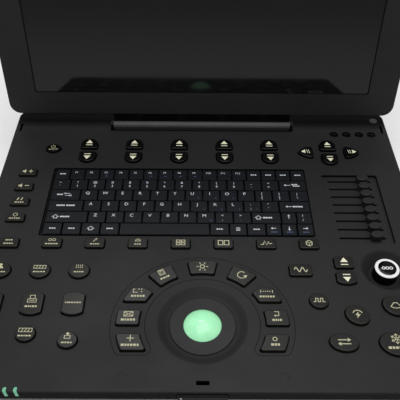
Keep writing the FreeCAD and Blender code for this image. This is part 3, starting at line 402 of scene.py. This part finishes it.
def glyph(character):
    """A character of the built-in typeface as a flat-sided mesh one unit high, centred."""
    if character not in glyph_meshes:
        curve = bpy.data.curves.new("glyph", "FONT")
        curve.body = character
        curve.align_x = "CENTER"
        curve.resolution_u = 3
        curve.extrude = 0.5
        holder = bpy.data.objects.new("glyph", curve)
        scene.collection.objects.link(holder)
        bpy.context.view_layer.update()
        mesh = bpy.data.meshes.new_from_object(holder.evaluated_get(bpy.context.evaluated_depsgraph_get()))
        bpy.data.objects.remove(holder)
        bpy.data.curves.remove(curve)
        glyph_meshes[character] = mesh
    return glyph_meshes[character]


class Ink:
    """Legends of one colour on one body: thin closed solids, drawn in millimetres about a spot."""

    def __init__(self):
        self.mesh = bmesh.new()
        self.spot = Matrix.Identity(4)
        self.scale = 1.0

    def at(self, point, turn=0.0, scale=1.0, tilt=0.0):
        """Sets the spot to draw at. A tilt of 90 degrees draws on a face that looks to the front."""
        spin = Matrix.Rotation(math.radians(tilt), 4, "X") @ Matrix.Rotation(math.radians(turn), 4, "Z")
        self.spot = Matrix.Translation(point) @ spin @ Matrix.Scale(MM, 4)
        self.scale = scale
        return self

    def _vert(self, p, z):
        return self.mesh.verts.new(self.spot @ Vector((p[0] * self.scale, p[1] * self.scale, z)))

    def shape(self, loop):
        """A filled outline."""
        low = [self._vert(p, INK_LOW) for p in loop]
        high = [self._vert(p, INK_HIGH) for p in loop]
        self.mesh.faces.new(high)
        self.mesh.faces.new(list(reversed(low)))
        for i in range(len(loop)):
            j = (i + 1) % len(loop)
            self.mesh.faces.new((low[i], low[j], high[j], high[i]))

    def band(self, outer, inner):
        """A closed ring between two loops."""
        loops = [[self._vert(p, z) for p in loop] for loop, z in
                 ((outer, INK_LOW), (outer, INK_HIGH), (inner, INK_HIGH), (inner, INK_LOW))]
        for k in range(4):
            a, b = loops[k], loops[(k + 1) % 4]
            for i in range(len(a)):
                j = (i + 1) % len(a)
                self.mesh.faces.new((a[i], a[j], b[j], b[i]))

    def stroke(self, points, width=LINE, closed=False):
        """A line of even width with mitred corners."""
        count = len(points)
        sides = [[], []]
        for i, p in enumerate(points):
            before = points[i - 1] if i or closed else None
            after = points[(i + 1) % count] if i < count - 1 or closed else None
            normals = []
            for a, b in ((before, p), (p, after)):
                if a is None or b is None:
                    continue
                dx, dy = b[0] - a[0], b[1] - a[1]
                length = math.hypot(dx, dy)
                normals.append((-dy / length, dx / length))
            nx = sum(n[0] for n in normals) / len(normals)
            ny = sum(n[1] for n in normals) / len(normals)
            reach = width / 2 / max(nx * nx + ny * ny, MITRE_LIMIT)
            sides[0].append((p[0] + nx * reach, p[1] + ny * reach))
            sides[1].append((p[0] - nx * reach, p[1] - ny * reach))
        if closed:
            self.band(sides[0], sides[1])
        else:
            self.shape(sides[0] + sides[1][::-1])

    def circle(self, x, y, radius, width=LINE):
        self.stroke(ring_points(x, y, radius, CIRCLE_POINTS), width, True)

    def dot(self, x, y, radius):
        self.shape(ring_points(x, y, radius, DOT_POINTS))

    def block(self, x, y, wide, tall):
        w, h = wide / 2, tall / 2
        self.shape([(x - w, y - h), (x + w, y - h), (x + w, y + h), (x - w, y + h)])

    def frame(self, x, y, wide, tall, width=LINE):
        w, h = wide / 2, tall / 2
        self.stroke([(x - w, y - h), (x + w, y - h), (x + w, y + h), (x - w, y + h)], width, True)

    def text(self, characters, x, y, size):
        """Characters of the built-in typeface; y is the foot of the line."""
        start = len(self.mesh.verts)
        self.mesh.from_mesh(glyph(characters))
        self.mesh.verts.ensure_lookup_table()
        fresh = [self.mesh.verts[i] for i in range(start, len(self.mesh.verts))]
        for vert in fresh:
            z = INK_HIGH if vert.co.z > 0 else INK_LOW
            px, py = x + vert.co.x * size, y + vert.co.y * size
            vert.co = self.spot @ Vector((px * self.scale, py * self.scale, z))

    def label(self, widths, y, tall=1.0, gap=0.45, middle=0.0):
        """A plain row of dashes in the place of a word."""
        x = middle - (sum(widths) + gap * (len(widths) - 1)) / 2
        for wide in widths:
            self.block(x + wide / 2, y, wide, tall)
            x += wide + gap

    def done(self, name, body, material, slot="key_plastic"):
        """Makes the object and lets it ride on the body."""
        bmesh.ops.remove_doubles(self.mesh, verts=self.mesh.verts, dist=WELD)
        return finish_mesh(self.mesh, name, body, material)


WORD = (1.7, 1.1, 1.4, 1.0)


def arrow_up(ink):
    ink.shape([(-3.3, -0.4), (3.3, -0.4), (0.0, 4.5)])
    ink.block(0.0, -3.0, 6.2, 0.9)


def arrow_down(ink):
    ink.shape([(-3.3, 0.4), (0.0, -4.5), (3.3, 0.4)])
    ink.block(0.0, 3.0, 6.2, 0.9)


def arrow_side(ink):
    """Points along +x: a triangle and two slanted bars."""
    ink.shape([(0.6, -3.0), (5.2, 0.0), (0.6, 3.0)])
    for x in (-3.5, -1.5):
        ink.stroke([(x - 0.5, 2.8), (x + 0.5, -2.8)], 0.55)


def icon_power(ink):
    ink.stroke(arc_points(0, 1.0, 1.9, 125, 415, 22))
    ink.block(0.0, 2.5, 0.45, 1.9)
    ink.label((1.5, 0.9, 1.2, 0.9, 1.5), -2.5, 0.9, 0.45)


def speaker(ink, x):
    ink.shape([(x - 1.9, -0.8), (x - 0.9, -0.8), (x + 0.7, -2.1), (x + 0.7, 2.1), (x - 0.9, 0.8),
               (x - 1.9, 0.8)])


def icon_louder(ink):
    speaker(ink, -2.0)
    ink.block(2.4, 0.0, 3.2, 0.65)
    ink.block(2.4, 1.15, 0.65, 1.3)
    ink.block(2.4, -1.15, 0.65, 1.3)


def icon_softer(ink):
    speaker(ink, -2.0)
    ink.block(2.4, 0.0, 3.2, 0.65)


def icon_mute(ink):
    for x in (-1.4, 1.4):
        ink.stroke([(x - 0.5, 0.5), (x + 0.5, 3.2)], 0.8)
    ink.label(WORD, -1.6)


def icon_probe(ink):
    ink.circle(0.0, 1.8, 1.5)
    ink.label((1.6, 1.0, 1.0, 1.4, 1.0), -1.7)


def icon_end(ink):
    ink.label((1.5, 1.1, 1.3), 1.5)
    ink.label(WORD, -1.6)


def icon_comment(ink):
    ink.circle(-1.3, 1.9, 1.05, 0.38)
    ink.circle(1.4, 1.9, 1.05, 0.38)
    ink.label((1.5, 1.2, 1.6, 1.0, 1.6), -1.7)


def icon_pointer(ink):
    ink.stroke([(-1.1, 0.5), (0.9, 3.0)], 0.55)
    ink.shape([(1.5, 3.7), (-0.3, 2.9), (1.1, 1.7)])
    ink.label((1.5, 1.0, 1.3, 1.1), -1.7)


def icon_pedal(ink):
    ink.stroke(arc_points(0.0, 1.2, 1.7, 0, 180, 10), 0.45)
    ink.block(0.0, 1.1, 4.2, 0.5)
    ink.label((1.3, 1.0, 1.2), -1.7)


def icon_quad(ink):
    for x in (-1.7, 1.7):
        for y in (-1.3, 1.3):
            ink.frame(x, y, 2.5, 1.8, 0.5)


def icon_dual(ink):
    for x in (-2.1, 2.1):
        ink.frame(x, 0.0, 3.2, 3.9, 0.6)


def icon_motion(ink):
    ink.stroke([(-4.0, -1.4), (-2.2, -1.4), (-1.2, 1.8), (0.2, -2.0), (1.3, 1.2), (2.0, -0.6),
                (4.0, -0.6)], 0.6)


def icon_volume(ink):
    outline = [(2.3 * math.cos(math.radians(a)), 2.6 * math.sin(math.radians(a))) for a in range(30, 390, 60)]
    ink.stroke(outline, 0.55, True)
    for x, y in (outline[0], outline[2], outline[4]):
        ink.stroke([(x * 0.12, y * 0.12), (x * 0.9, y * 0.9)], 0.5)


def icon_person(ink):
    ink.dot(0.0, 3.9, 1.15)
    ink.shape(arc_points(0.0, 0.7, 2.1, 0, 180, 12))
    ink.label((1.6, 1.1, 1.0, 1.4, 1.2), -2.2)


def icon_film(ink):
    ink.frame(0.0, 2.1, 8.2, 2.6, 0.4)
    for x in (-2.0, 0.0, 2.0):
        ink.stroke([(x - 0.5, 0.9), (x + 0.5, 3.3)], 0.45)
    ink.label((1.6, 1.2, 0.8, 1.4, 1.4), -2.0)


def icon_marks(ink):
    for x in (-2.0, -0.7, 0.7, 2.0):
        ink.block(x, 3.6, 0.5, 1.1)
        ink.block(x, 1.9, 0.5, 1.1)
    ink.label((1.5, 1.2, 1.2, 1.4), -1.9)


def icon_list(ink):
    for y in (1.2, 3.2, 5.2):
        ink.dot(-2.8, y, 0.45)
        ink.block(0.6, y, 4.6, 0.5)
    ink.label(WORD, -2.6)


def icon_printer(ink):
    ink.frame(0.0, 4.4, 3.2, 2.6)
    ink.frame(0.0, 1.5, 5.6, 2.6)
    ink.block(0.0, 1.5, 3.4, 0.4)
    ink.label((1.7, 1.1, 0.7, 1.4, 1.2), -3.0, 1.3)


def icon_tools(ink):
    ink.label((1.0, 2.0, 1.4, 1.1, 1.5, 1.2), 0.2)


def icon_store(ink):
    ink.dot(0.0, 4.1, 0.95)
    ink.frame(0.0, 1.7, 3.6, 2.0)
    ink.label(WORD, -2.2)


def icon_wave(ink):
    points = [(-4.0 + 0.4 * i, 1.7 * math.sin(math.radians(36 * i))) for i in range(21)]
    ink.stroke(points, 0.6)


def icon_pulses(ink):
    ink.stroke([(-4.0, -1.3), (-2.4, -1.3), (-2.4, 1.5), (-0.8, 1.5), (-0.8, -1.3), (0.8, -1.3),
                (0.8, 1.5), (2.4, 1.5), (2.4, -1.3), (4.0, -1.3)], 0.55)


def icon_power_map(ink):
    ink.stroke(arc_points(0.0, 0.0, 2.9, 20, 160, 12), 0.55)
    ink.shape([(0.5, 1.9), (-1.6, -0.7), (-0.2, -0.5), (-0.7, -2.8), (1.7, 0.1), (0.3, 0.0)])


def icon_flow(ink):
    for y, side in ((1.3, 1), (-1.3, -1)):
        ink.stroke([(-3.6 * side, y), (2.2 * side, y)], 0.6)
        ink.shape([(3.9 * side, y), (2.0 * side, y - 1.25), (2.0 * side, y + 1.25)])


def icon_sector(ink):
    """A sector image: a fan of two arcs."""
    outer = arc_points(0.0, 3.4, 6.2, 232, 308, 12)
    inner = arc_points(0.0, 3.4, 1.7, 308, 232, 6)
    ink.stroke(outer + inner, 0.6, True)


def icon_freeze(ink):
    for a in range(0, 180, 60):
        c, s = math.cos(math.radians(a + 30)), math.sin(math.radians(a + 30))
        ink.stroke([(-3.1 * c, 2.7 - 3.1 * s), (3.1 * c, 2.7 + 3.1 * s)], 0.55)
        for side in (-1, 1):
            for swing in (-38, 38):
                t = math.radians(a + 30 + swing)
                x, y = side * 1.5 * c, 2.7 + side * 1.5 * s
                ink.stroke([(x, y), (x + side * 1.25 * math.cos(t), y + side * 1.25 * math.sin(t))], 0.5)
    ink.label((1.7, 1.2, 1.4, 1.4, 1.2, 1.4), -2.6, 1.4)


def icon_cross(ink):
    ink.block(0.0, 2.2, 4.2, 0.5)
    ink.block(0.0, 3.4, 0.5, 1.9)
    ink.block(0.0, 1.0, 0.5, 1.9)
    ink.label((1.7, 1.1, 1.1, 1.4, 1.5, 1.1), -2.2, 1.4)


def icon_clear(ink):
    ink.frame(0.0, 2.0, 5.2, 3.2)
    ink.stroke([(-2.3, 0.7), (2.3, 3.3)], 0.45)
    ink.stroke([(-2.3, 3.3), (2.3, 0.7)], 0.45)
    ink.label((1.7, 0.9, 1.3, 1.4, 1.2), -2.0, 1.4)


def icon_trace(ink):
    ink.stroke([(-1.8, 3.4), (-3.0, 3.4), (-3.0, 1.0), (-0.2, 1.0)], 0.4)
    for x, y in ((0.4, 3.4), (2.0, 3.4), (2.0, 1.6)):
        ink.dot(x, y, 0.4)
    ink.label((1.5, 1.2, 1.3, 1.1, 1.4), -1.6, 1.3)


def icon_calculator(ink):
    ink.frame(-0.2, 2.2, 3.4, 4.0)
    ink.block(-0.2, 3.3, 2.0, 0.7)
    for x in (-1.0, 0.6):
        for y in (1.0, 2.0):
            ink.dot(x, y, 0.35)
    ink.label((1.4, 1.2, 0.8, 1.4), -2.4, 1.3)


def icon_assist(ink):
    ink.circle(0.0, 0.2, 1.25, 0.5)
    for a in range(0, 360, 60):
        c, s = math.cos(math.radians(a)), math.sin(math.radians(a))
        ink.stroke([(2.1 * c, 0.2 + 2.1 * s), (3.3 * c, 0.2 + 3.3 * s)], 0.5)


def icon_update(ink):
    ink.stroke(arc_points(0.0, 0.1, 2.3, 70, 350, 18), 0.5)
    ink.shape([(2.9, 1.5), (3.1, -0.9), (1.0, 0.2)])


def icon_caliper(ink):
    for x in (-3.6, 3.6):
        ink.block(x, 2.2, 0.5, 1.9)
    for x in (-2.0, -0.7, 0.7, 2.0):
        ink.dot(x, 2.2, 0.38)
    ink.label((1.4, 1.2, 0.8, 1.0, 1.3, 1.1), -1.6, 1.3)


def icon_exit(ink):
    ink.stroke([(-1.3, 4.0), (1.3, 4.0), (1.3, 1.2), (-0.4, 1.2)])
    ink.shape([(-1.8, 1.2), (-0.3, 0.4), (-0.3, 2.0)])
    ink.label((1.4, 1.0, 0.7, 1.1), -1.8, 1.4)


def icon_set(ink):
    ink.label((1.6, 1.2, 1.2), -1.6, 1.5)
    ink.circle(0.0, 2.0, 1.2, 0.45)


# What is drawn on each node's keys, back to front and left to right.
LEGENDS = {
    "power_key": [icon_power],
    "soft_keys_rear": [arrow_up] * 5,
    "soft_keys_front": [arrow_down] * 5,
    "level_keys": [icon_louder, icon_softer, icon_mute, icon_probe],
    "mode_row_keys": [icon_end, icon_comment, icon_pointer, icon_pedal, icon_quad, icon_dual, icon_motion,
                      icon_volume],
    "exam_keys": [icon_person, icon_film, icon_marks, icon_list, icon_printer, icon_tools, icon_film,
                  icon_store],
    "key_doppler": [icon_wave],
    "page_keys": [arrow_up, arrow_down],
    "key_pulse": [icon_pulses],
    "key_power_map": [icon_power_map],
    "key_flow": [icon_flow],
    "key_image": [icon_sector],
    "key_freeze": [icon_freeze],
    "arc_key_cursor": [icon_cross],
    "arc_key_clear": [icon_clear],
    "arc_key_trace": [icon_trace],
    "arc_key_calc": [icon_calculator],
    "arc_key_assist": [icon_assist],
    "arc_key_update": [icon_update],
    "arc_key_caliper": [icon_caliper],
    "arc_key_exit": [icon_exit],
    "arc_key_set": [icon_set],
}
# Turns in degrees, and sizes against the drawing's own, where a node has one of its own.
TURNS = {"arc_key_calc": 28.0, "arc_key_update": -28.0, "power_key": 5.0}
SIZES = {"soft_keys_rear": 0.95, "soft_keys_front": 0.95, "level_keys": 1.15, "mode_row_keys": 1.15,
         "exam_keys": 1.12, "page_keys": 0.92, "power_key": 1.0, "key_freeze": 1.35, "key_doppler": 1.25,
         "key_pulse": 1.1, "key_image": 1.0, "arc_key_assist": 1.35, "arc_key_update": 1.35}
LEGEND_SIZE = 1.22
NAV_SIZE, NAV_SIDE_SIZE = 0.9, 0.86
BRIGHT_LEGENDS = ("soft_keys_rear", "soft_keys_front", "page_keys")


def write_legends():
    for node, icons in LEGENDS.items():
        ink = Ink()
        solids = [solid for row in rows_of(node) for solid in row]
        for solid, icon in zip(solids, icons):
            icon(ink.at(top_of(solid), TURNS.get(node, 0.0), SIZES.get(node, LEGEND_SIZE)))
        paint = ARROW_INK if node in BRIGHT_LEGENDS else CREAM_INK
        ink.done(f"{node}_legend", body_of_node[node], paint)


def write_nav_legends():
    """The four-way keys: back, left, right and front."""
    ink = Ink()
    back, (left, right), front = rows_of("nav_keys")
    arrow_up(ink.at(top_of(back[0]), scale=NAV_SIZE))
    arrow_side(ink.at(top_of(left), 180.0, NAV_SIDE_SIZE))
    arrow_side(ink.at(top_of(right), 0.0, NAV_SIDE_SIZE))
    arrow_down(ink.at(top_of(front[0]), scale=NAV_SIZE))
    ink.done("nav_keys_legend", body_of_node["nav_keys"], ARROW_INK)


# ---------------------------------------------------------------- letter keyboard
def long_arrow(ink, tip, reach):
    """An arrow to the left, from its tip."""
    ink.shape([(tip, 0.0), (tip + 1.9, -1.1), (tip + 1.9, 1.1)])
    ink.block(tip + 1.7 + reach / 2, 0.0, reach, 0.5)


def back_arrow(ink):
    long_arrow(ink, -7.8, 4.0)
    ink.label((1.7, 1.2, 1.5), 1.0, 1.2, 0.4, 1.6)
    ink.label((1.4, 1.1, 1.3, 1.1), -0.9, 1.2, 0.4, 3.0)


def enter_arrow(ink):
    long_arrow(ink, -7.8, 3.8)
    ink.label((1.8, 1.3, 1.1, 1.4, 1.1), 0.0, 1.5, 0.4, 2.6)


def tab_arrows(ink):
    """A short word, and two arrows to the right of it that point opposite ways, each at a stop."""
    ink.label((1.6, 1.2, 1.3), 0.0, 1.4, 0.4, -4.9)
    for y, side in ((1.2, -1), (-1.2, 1)):
        ink.block(1.8 - 0.4 * side, y, 3.8, 0.45)
        ink.shape([(1.8 + 2.9 * side, y), (1.8 + 1.4 * side, y - 0.9), (1.8 + 1.4 * side, y + 0.9)])
        ink.block(1.8 + 3.2 * side, y, 0.45, 1.8)


def shift_arrow(ink, x=0.0):
    ink.stroke([(x - 1.4, -1.7), (x + 1.4, -1.7), (x + 1.4, -0.1), (x + 3.0, -0.1), (x, 2.2), (x - 3.0, -0.1),
                (x - 1.4, -0.1)], 0.55, True)


def shift_word(x):
    """An outlined arrow at x with a word to the right of it."""
    def draw(ink):
        shift_arrow(ink, x)
        ink.label((1.7, 1.2, 0.9, 1.1, 1.2), 0.0, 1.5, 0.35, x + 7.7)
    return draw


def caps_words(ink):
    for middle in (-4.3, 4.0):
        ink.label((1.8, 1.3, 1.4, 1.3), 0.0, 1.5, 0.4, middle)


def menu_lines(ink):
    for y in (-1.4, 0.0, 1.4):
        ink.block(0.0, y, 3.4, 0.55)


def small_word(ink):
    ink.label((1.7, 1.1, 1.5), 0.0, 1.15, 0.4)


def cursor_arrow(turn):
    """A short arrow, turned by whole quarters from +x."""
    c, s = round(math.cos(math.radians(turn))), round(math.sin(math.radians(turn)))

    def draw(ink):
        def spin(x, y):
            return (x * c - y * s, x * s + y * c + 1.2)
        ink.stroke([spin(-2.0, 0.0), spin(1.0, 0.0)], 0.5)
        ink.shape([spin(2.4, 0.0), spin(0.7, -1.2), spin(0.7, 1.2)])
    return draw


def keyboard_rows():
    """What is printed on each key: a character, an F and its number, two characters one above the other,
    a drawing, or nothing."""
    return [
        [small_word] + [f"F{i}" for i in range(1, 13)] + [small_word] * 4,
        ["~`", "!1", "@2", "#3", "$4", "%5", "^6", "&7", "*8", "(9", ")0", "_-", "+=", back_arrow],
        [tab_arrows, *"QWERTYUIOP", "{[", "}]", "|\\"],
        [caps_words, *"ASDFGHJKL", ":;", "\"'", enter_arrow],
        [shift_word(-9.3), *"ZXCVBNM", "<,", ">.", shift_word(-6.6), cursor_arrow(90), "?/"],
        [small_word, small_word, shift_arrow, small_word, None, small_word, menu_lines, small_word,
         cursor_arrow(180), cursor_arrow(-90), cursor_arrow(0)],
    ]


# The number pad in blue on the letter keys, and the function keys with a second, blue function.
PAD_DIGITS = {"U": "4", "I": "5", "O": "6", "P": "-", "J": "1", "K": "2", "L": "3", ";": "+", "M": "0"}
BLUE_FUNCTIONS = ("F3", "F6", "F7", "F8", "F9")
LETTER_TALL, PAIR_TALL, SMALL_TALL = 4.6, 3.6, 2.9
# Where a character and a pad digit stand, left and right of the key's middle, as shares of the key's width.
LETTER_SIDE, DIGIT_SIDE = -0.1, 0.28


def write_key(ink, blue, mark, wide):
    """Prints a mark on a key of a width, and what goes with it in blue."""
    side = wide * LETTER_SIDE
    if callable(mark):
        mark(ink)
        return
    if mark.startswith("F") and len(mark) > 1:
        ink.text(mark, -1.0, 0.9, SMALL_TALL)
        if mark in BLUE_FUNCTIONS:
            blue.label((1.1, 0.9), -2.6, 0.8, 0.3)
    elif len(mark) == 2:
        ink.text(mark[0], side, 1.1, PAIR_TALL)
        ink.text(mark[1], side, -3.5, PAIR_TALL)
    else:
        ink.text(mark, side, 0.4, LETTER_TALL)
    if mark[-1] in PAD_DIGITS:
        blue.text(PAD_DIGITS[mark[-1]], wide * DIGIT_SIDE, -4.2, SMALL_TALL)


def write_keyboard():
    ink, blue = Ink(), Ink()
    rows = rows_of("letter_keys")
    for keys, marks in zip(rows, keyboard_rows()):
        for solid, mark in zip(keys, marks):
            ink.at(top_of(solid))
            blue.at(top_of(solid))
            if mark:
                write_key(ink, blue, mark, (solid[1].x - solid[0].x) / MM)
    for solid in rows[-1][-3:]:
        blue.at(top_of(solid)).label((1.6, 1.2, 1.6), -2.9, 1.0, 0.35)
    ink.done("letter_keys_legend", body_of_node["letter_keys"], PALE_INK, "letter_plastic")
    blue.done("letter_keys_blue_legend", body_of_node["letter_keys"], BLUE_INK, "letter_plastic")


# ---------------------------------------------------------------- turned pieces
def turned(name, profile, centre, body, material, count=96):
    """A closed ring from a profile of (radius, height) corners in millimetres about a centre."""
    mesh = bmesh.new()
    rings = []
    for i in range(count):
        a = 2 * math.pi * i / count
        rings.append([mesh.verts.new(centre + Vector((r * math.cos(a), r * math.sin(a), h)) * MM)
                      for r, h in profile])
    for i in range(count):
        one, two = rings[i], rings[(i + 1) % count]
        for k in range(len(profile)):
            n = (k + 1) % len(profile)
            mesh.faces.new((one[k], two[k], two[n], one[n]))
    made = finish_mesh(mesh, name, body, material)
    for face in made.data.polygons:
        face.use_smooth = True
    return made


RING_WIDTH = 3.1
MARK_PITCH, MARK_RADIUS, MARK_LINE, MARK_DEPTH = 2.9, 1.15, 0.6, 0.06


def knob_trim():
    """The white ring round the knob's rim and the mark on its push cap."""
    low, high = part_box("knob")
    centre = Vector(((low.x + high.x) / 2, (low.y + high.y) / 2, high.z))
    radius = (high.x - low.x) / 2 / MM
    inner = radius - RING_WIDTH
    outside = [(inner, 0.06), (radius - 1.25, 0.06), (radius - 0.62, -0.42), (radius - 0.52, -1.0)]
    inside = [(radius - 0.75, -1.0), (radius - 0.8, -0.5), (radius - 1.3, -0.03), (inner, -0.03)]
    turned("knob_ring", outside + inside, centre, "knob", WHITE_INK)
    cap_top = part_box("knob_button_cap")[1].z
    ink = Ink().at(Vector((centre.x, centre.y, cap_top - MARK_DEPTH * MM)))
    for step in (-1, 0, 1):
        ink.circle(step * MARK_PITCH, 0.0, MARK_RADIUS, MARK_LINE)
    ink.done("knob_button_mark", "knob_button", WHITE_INK, "key_gloss")


# ---------------------------------------------------------------- small pieces on the base
WELL_DEPTH, LENS_GAP = 2.0, 0.15
PLUG_REACH, PLUG_SETBACK, PLUG_RADIUS = 55.0, 11.7, 3.3
# The radius of the hole at the axis of a piece that is turned solid.
CORE = 0.05


def well_lenses():
    """A smoked lens in each of the four wells at the right rear of the deck."""
    wells = islands("base_deck", deck_high.z - WELL_DEPTH * MM)
    for i, (low, high) in enumerate(sorted(wells, key=lambda box: box[0].x)):
        radius = (high.x - low.x) / 2 / MM - LENS_GAP
        profile = [(CORE, 0.0), (radius, 0.0), (radius, 0.7), (radius - 0.5, 1.0), (radius * 0.5, 1.35),
                   (0.4, 1.44), (CORE, 1.45)]
        turned(f"well_lens_{i}", profile, (low + high) / 2, "base", SMOKED_LENS, 48)


def deck_plugs():
    """Two round blanking plugs near the front edge, flush with the deck."""
    profile = [(CORE, -0.1), (PLUG_RADIUS, -0.1), (PLUG_RADIUS, 0.0), (PLUG_RADIUS - 0.3, 0.04), (0.4, 0.05),
               (CORE, 0.05)]
    for side in (-1, 1):
        centre = Vector((side * PLUG_REACH * MM, deck_low.y + PLUG_SETBACK * MM, deck_high.z))
        turned(f"deck_plug_{side + 1}", profile, centre, "base", FINISHES["deck_plastic"], 48)


LATCH_DOT_INSET, LATCH_DOT_RADIUS = 2.6, 0.8


def latch_mark():
    """A dot at the left end of the release tab."""
    low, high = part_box("front_latch")
    ink = Ink().at(Vector((low.x + LATCH_DOT_INSET * MM, low.y, (low.z + high.z) / 2)), tilt=90.0)
    ink.dot(0.0, 0.0, LATCH_DOT_RADIUS)
    ink.done("latch_mark", "front_latch", PALE_INK, "gloss_black")


TONGUE_RISE, TONGUE_SETBACK = 1.6, 1.6
CONTACT_COUNT, CONTACT_PITCH, CONTACT_WIDTH, CONTACT_LENGTH = 20, 2.0, 1.1, 7.0


def socket_contacts():
    """Gold contact strips on both faces of each probe socket's tongue."""
    ink = Ink()
    for low, high in islands("probe_sockets"):
        middle = (low + high) / 2
        for side in (-1, 1):
            spot = Vector((middle.x, middle.y - TONGUE_SETBACK * MM, middle.z + side * TONGUE_RISE * MM))
            ink.at(spot, tilt=0.0 if side > 0 else 180.0)
            for i in range(CONTACT_COUNT):
                x = (i - (CONTACT_COUNT - 1) / 2) * CONTACT_PITCH
                ink.block(x, 0.0, CONTACT_WIDTH, CONTACT_LENGTH)
    ink.done("socket_contacts", "base", GOLD, "socket_plastic")


# ---------------------------------------------------------------- floor, light and camera
FLOOR_REACH = 4.0
WORLD_STRENGTH = 0.42


def floor():
    mesh = bmesh.new()
    bmesh.ops.create_grid(mesh, x_segments=4, y_segments=4, size=FLOOR_REACH)
    data = bpy.data.meshes.new("floor")
    mesh.to_mesh(data)
    mesh.free()
    data.materials.append(pale_floor())
    made = bpy.data.objects.new("floor", data)
    scene.collection.objects.link(made)


def softbox(name, place, target, size, power):
    """A rectangular light at a place that looks at a target, with its power in watts."""
    light = bpy.data.lights.new(name, "AREA")
    light.shape = "RECTANGLE"
    light.size, light.size_y = size
    light.energy = power
    holder = bpy.data.objects.new(name, light)
    scene.collection.objects.link(holder)
    holder.location = place
    holder.rotation_euler = (Vector(target) - Vector(place)).to_track_quat("-Z", "Y").to_euler()


def lights():
    world = bpy.data.worlds.new("studio")
    world.use_nodes = True
    background = world.node_tree.nodes["Background"]
    background.inputs["Color"].default_value = (1.0, 1.0, 1.0, 1.0)
    background.inputs["Strength"].default_value = WORLD_STRENGTH
    scene.world = world
    softbox("overhead", place=(0.05, -0.15, 1.5), target=(0.0, -0.02, 0.0), size=(1.5, 1.1), power=14.0)
    softbox("rear", place=(-0.14, 0.76, 1.5), target=(0.0, -0.12, 0.0), size=(0.7, 0.34), power=4.0)


CAMERA_PLACE = (-0.00516, -0.33880, 0.39007)
CAMERA_PITCH, CAMERA_YAW, CAMERA_ROLL = 50.076, -0.668, 0.829
CAMERA_LENS, CAMERA_SENSOR, CAMERA_SHIFT = 50.74, 36.0, 0.125


def camera():
    """A camera above the front edge, looking down at the deck. The angles are in degrees."""
    pitch, yaw, roll = (math.radians(a) for a in (CAMERA_PITCH, CAMERA_YAW, CAMERA_ROLL))
    level = Matrix.Rotation(yaw, 4, "Z") @ Matrix.Rotation(math.pi / 2 - pitch, 4, "X")
    turn = level @ Matrix.Rotation(roll, 4, "Z")
    data = bpy.data.cameras.new("camera")
    data.lens = CAMERA_LENS
    data.sensor_width = CAMERA_SENSOR
    data.shift_y = CAMERA_SHIFT
    data.clip_start, data.clip_end = 0.01, 20.0
    holder = bpy.data.objects.new("camera", data)
    holder.matrix_world = Matrix.Translation(CAMERA_PLACE) @ turn
    scene.collection.objects.link(holder)
    scene.camera = holder


write_legends()
write_nav_legends()
write_keyboard()
knob_trim()
well_lenses()
deck_plugs()
latch_mark()
socket_contacts()
floor()
lights()
camera()
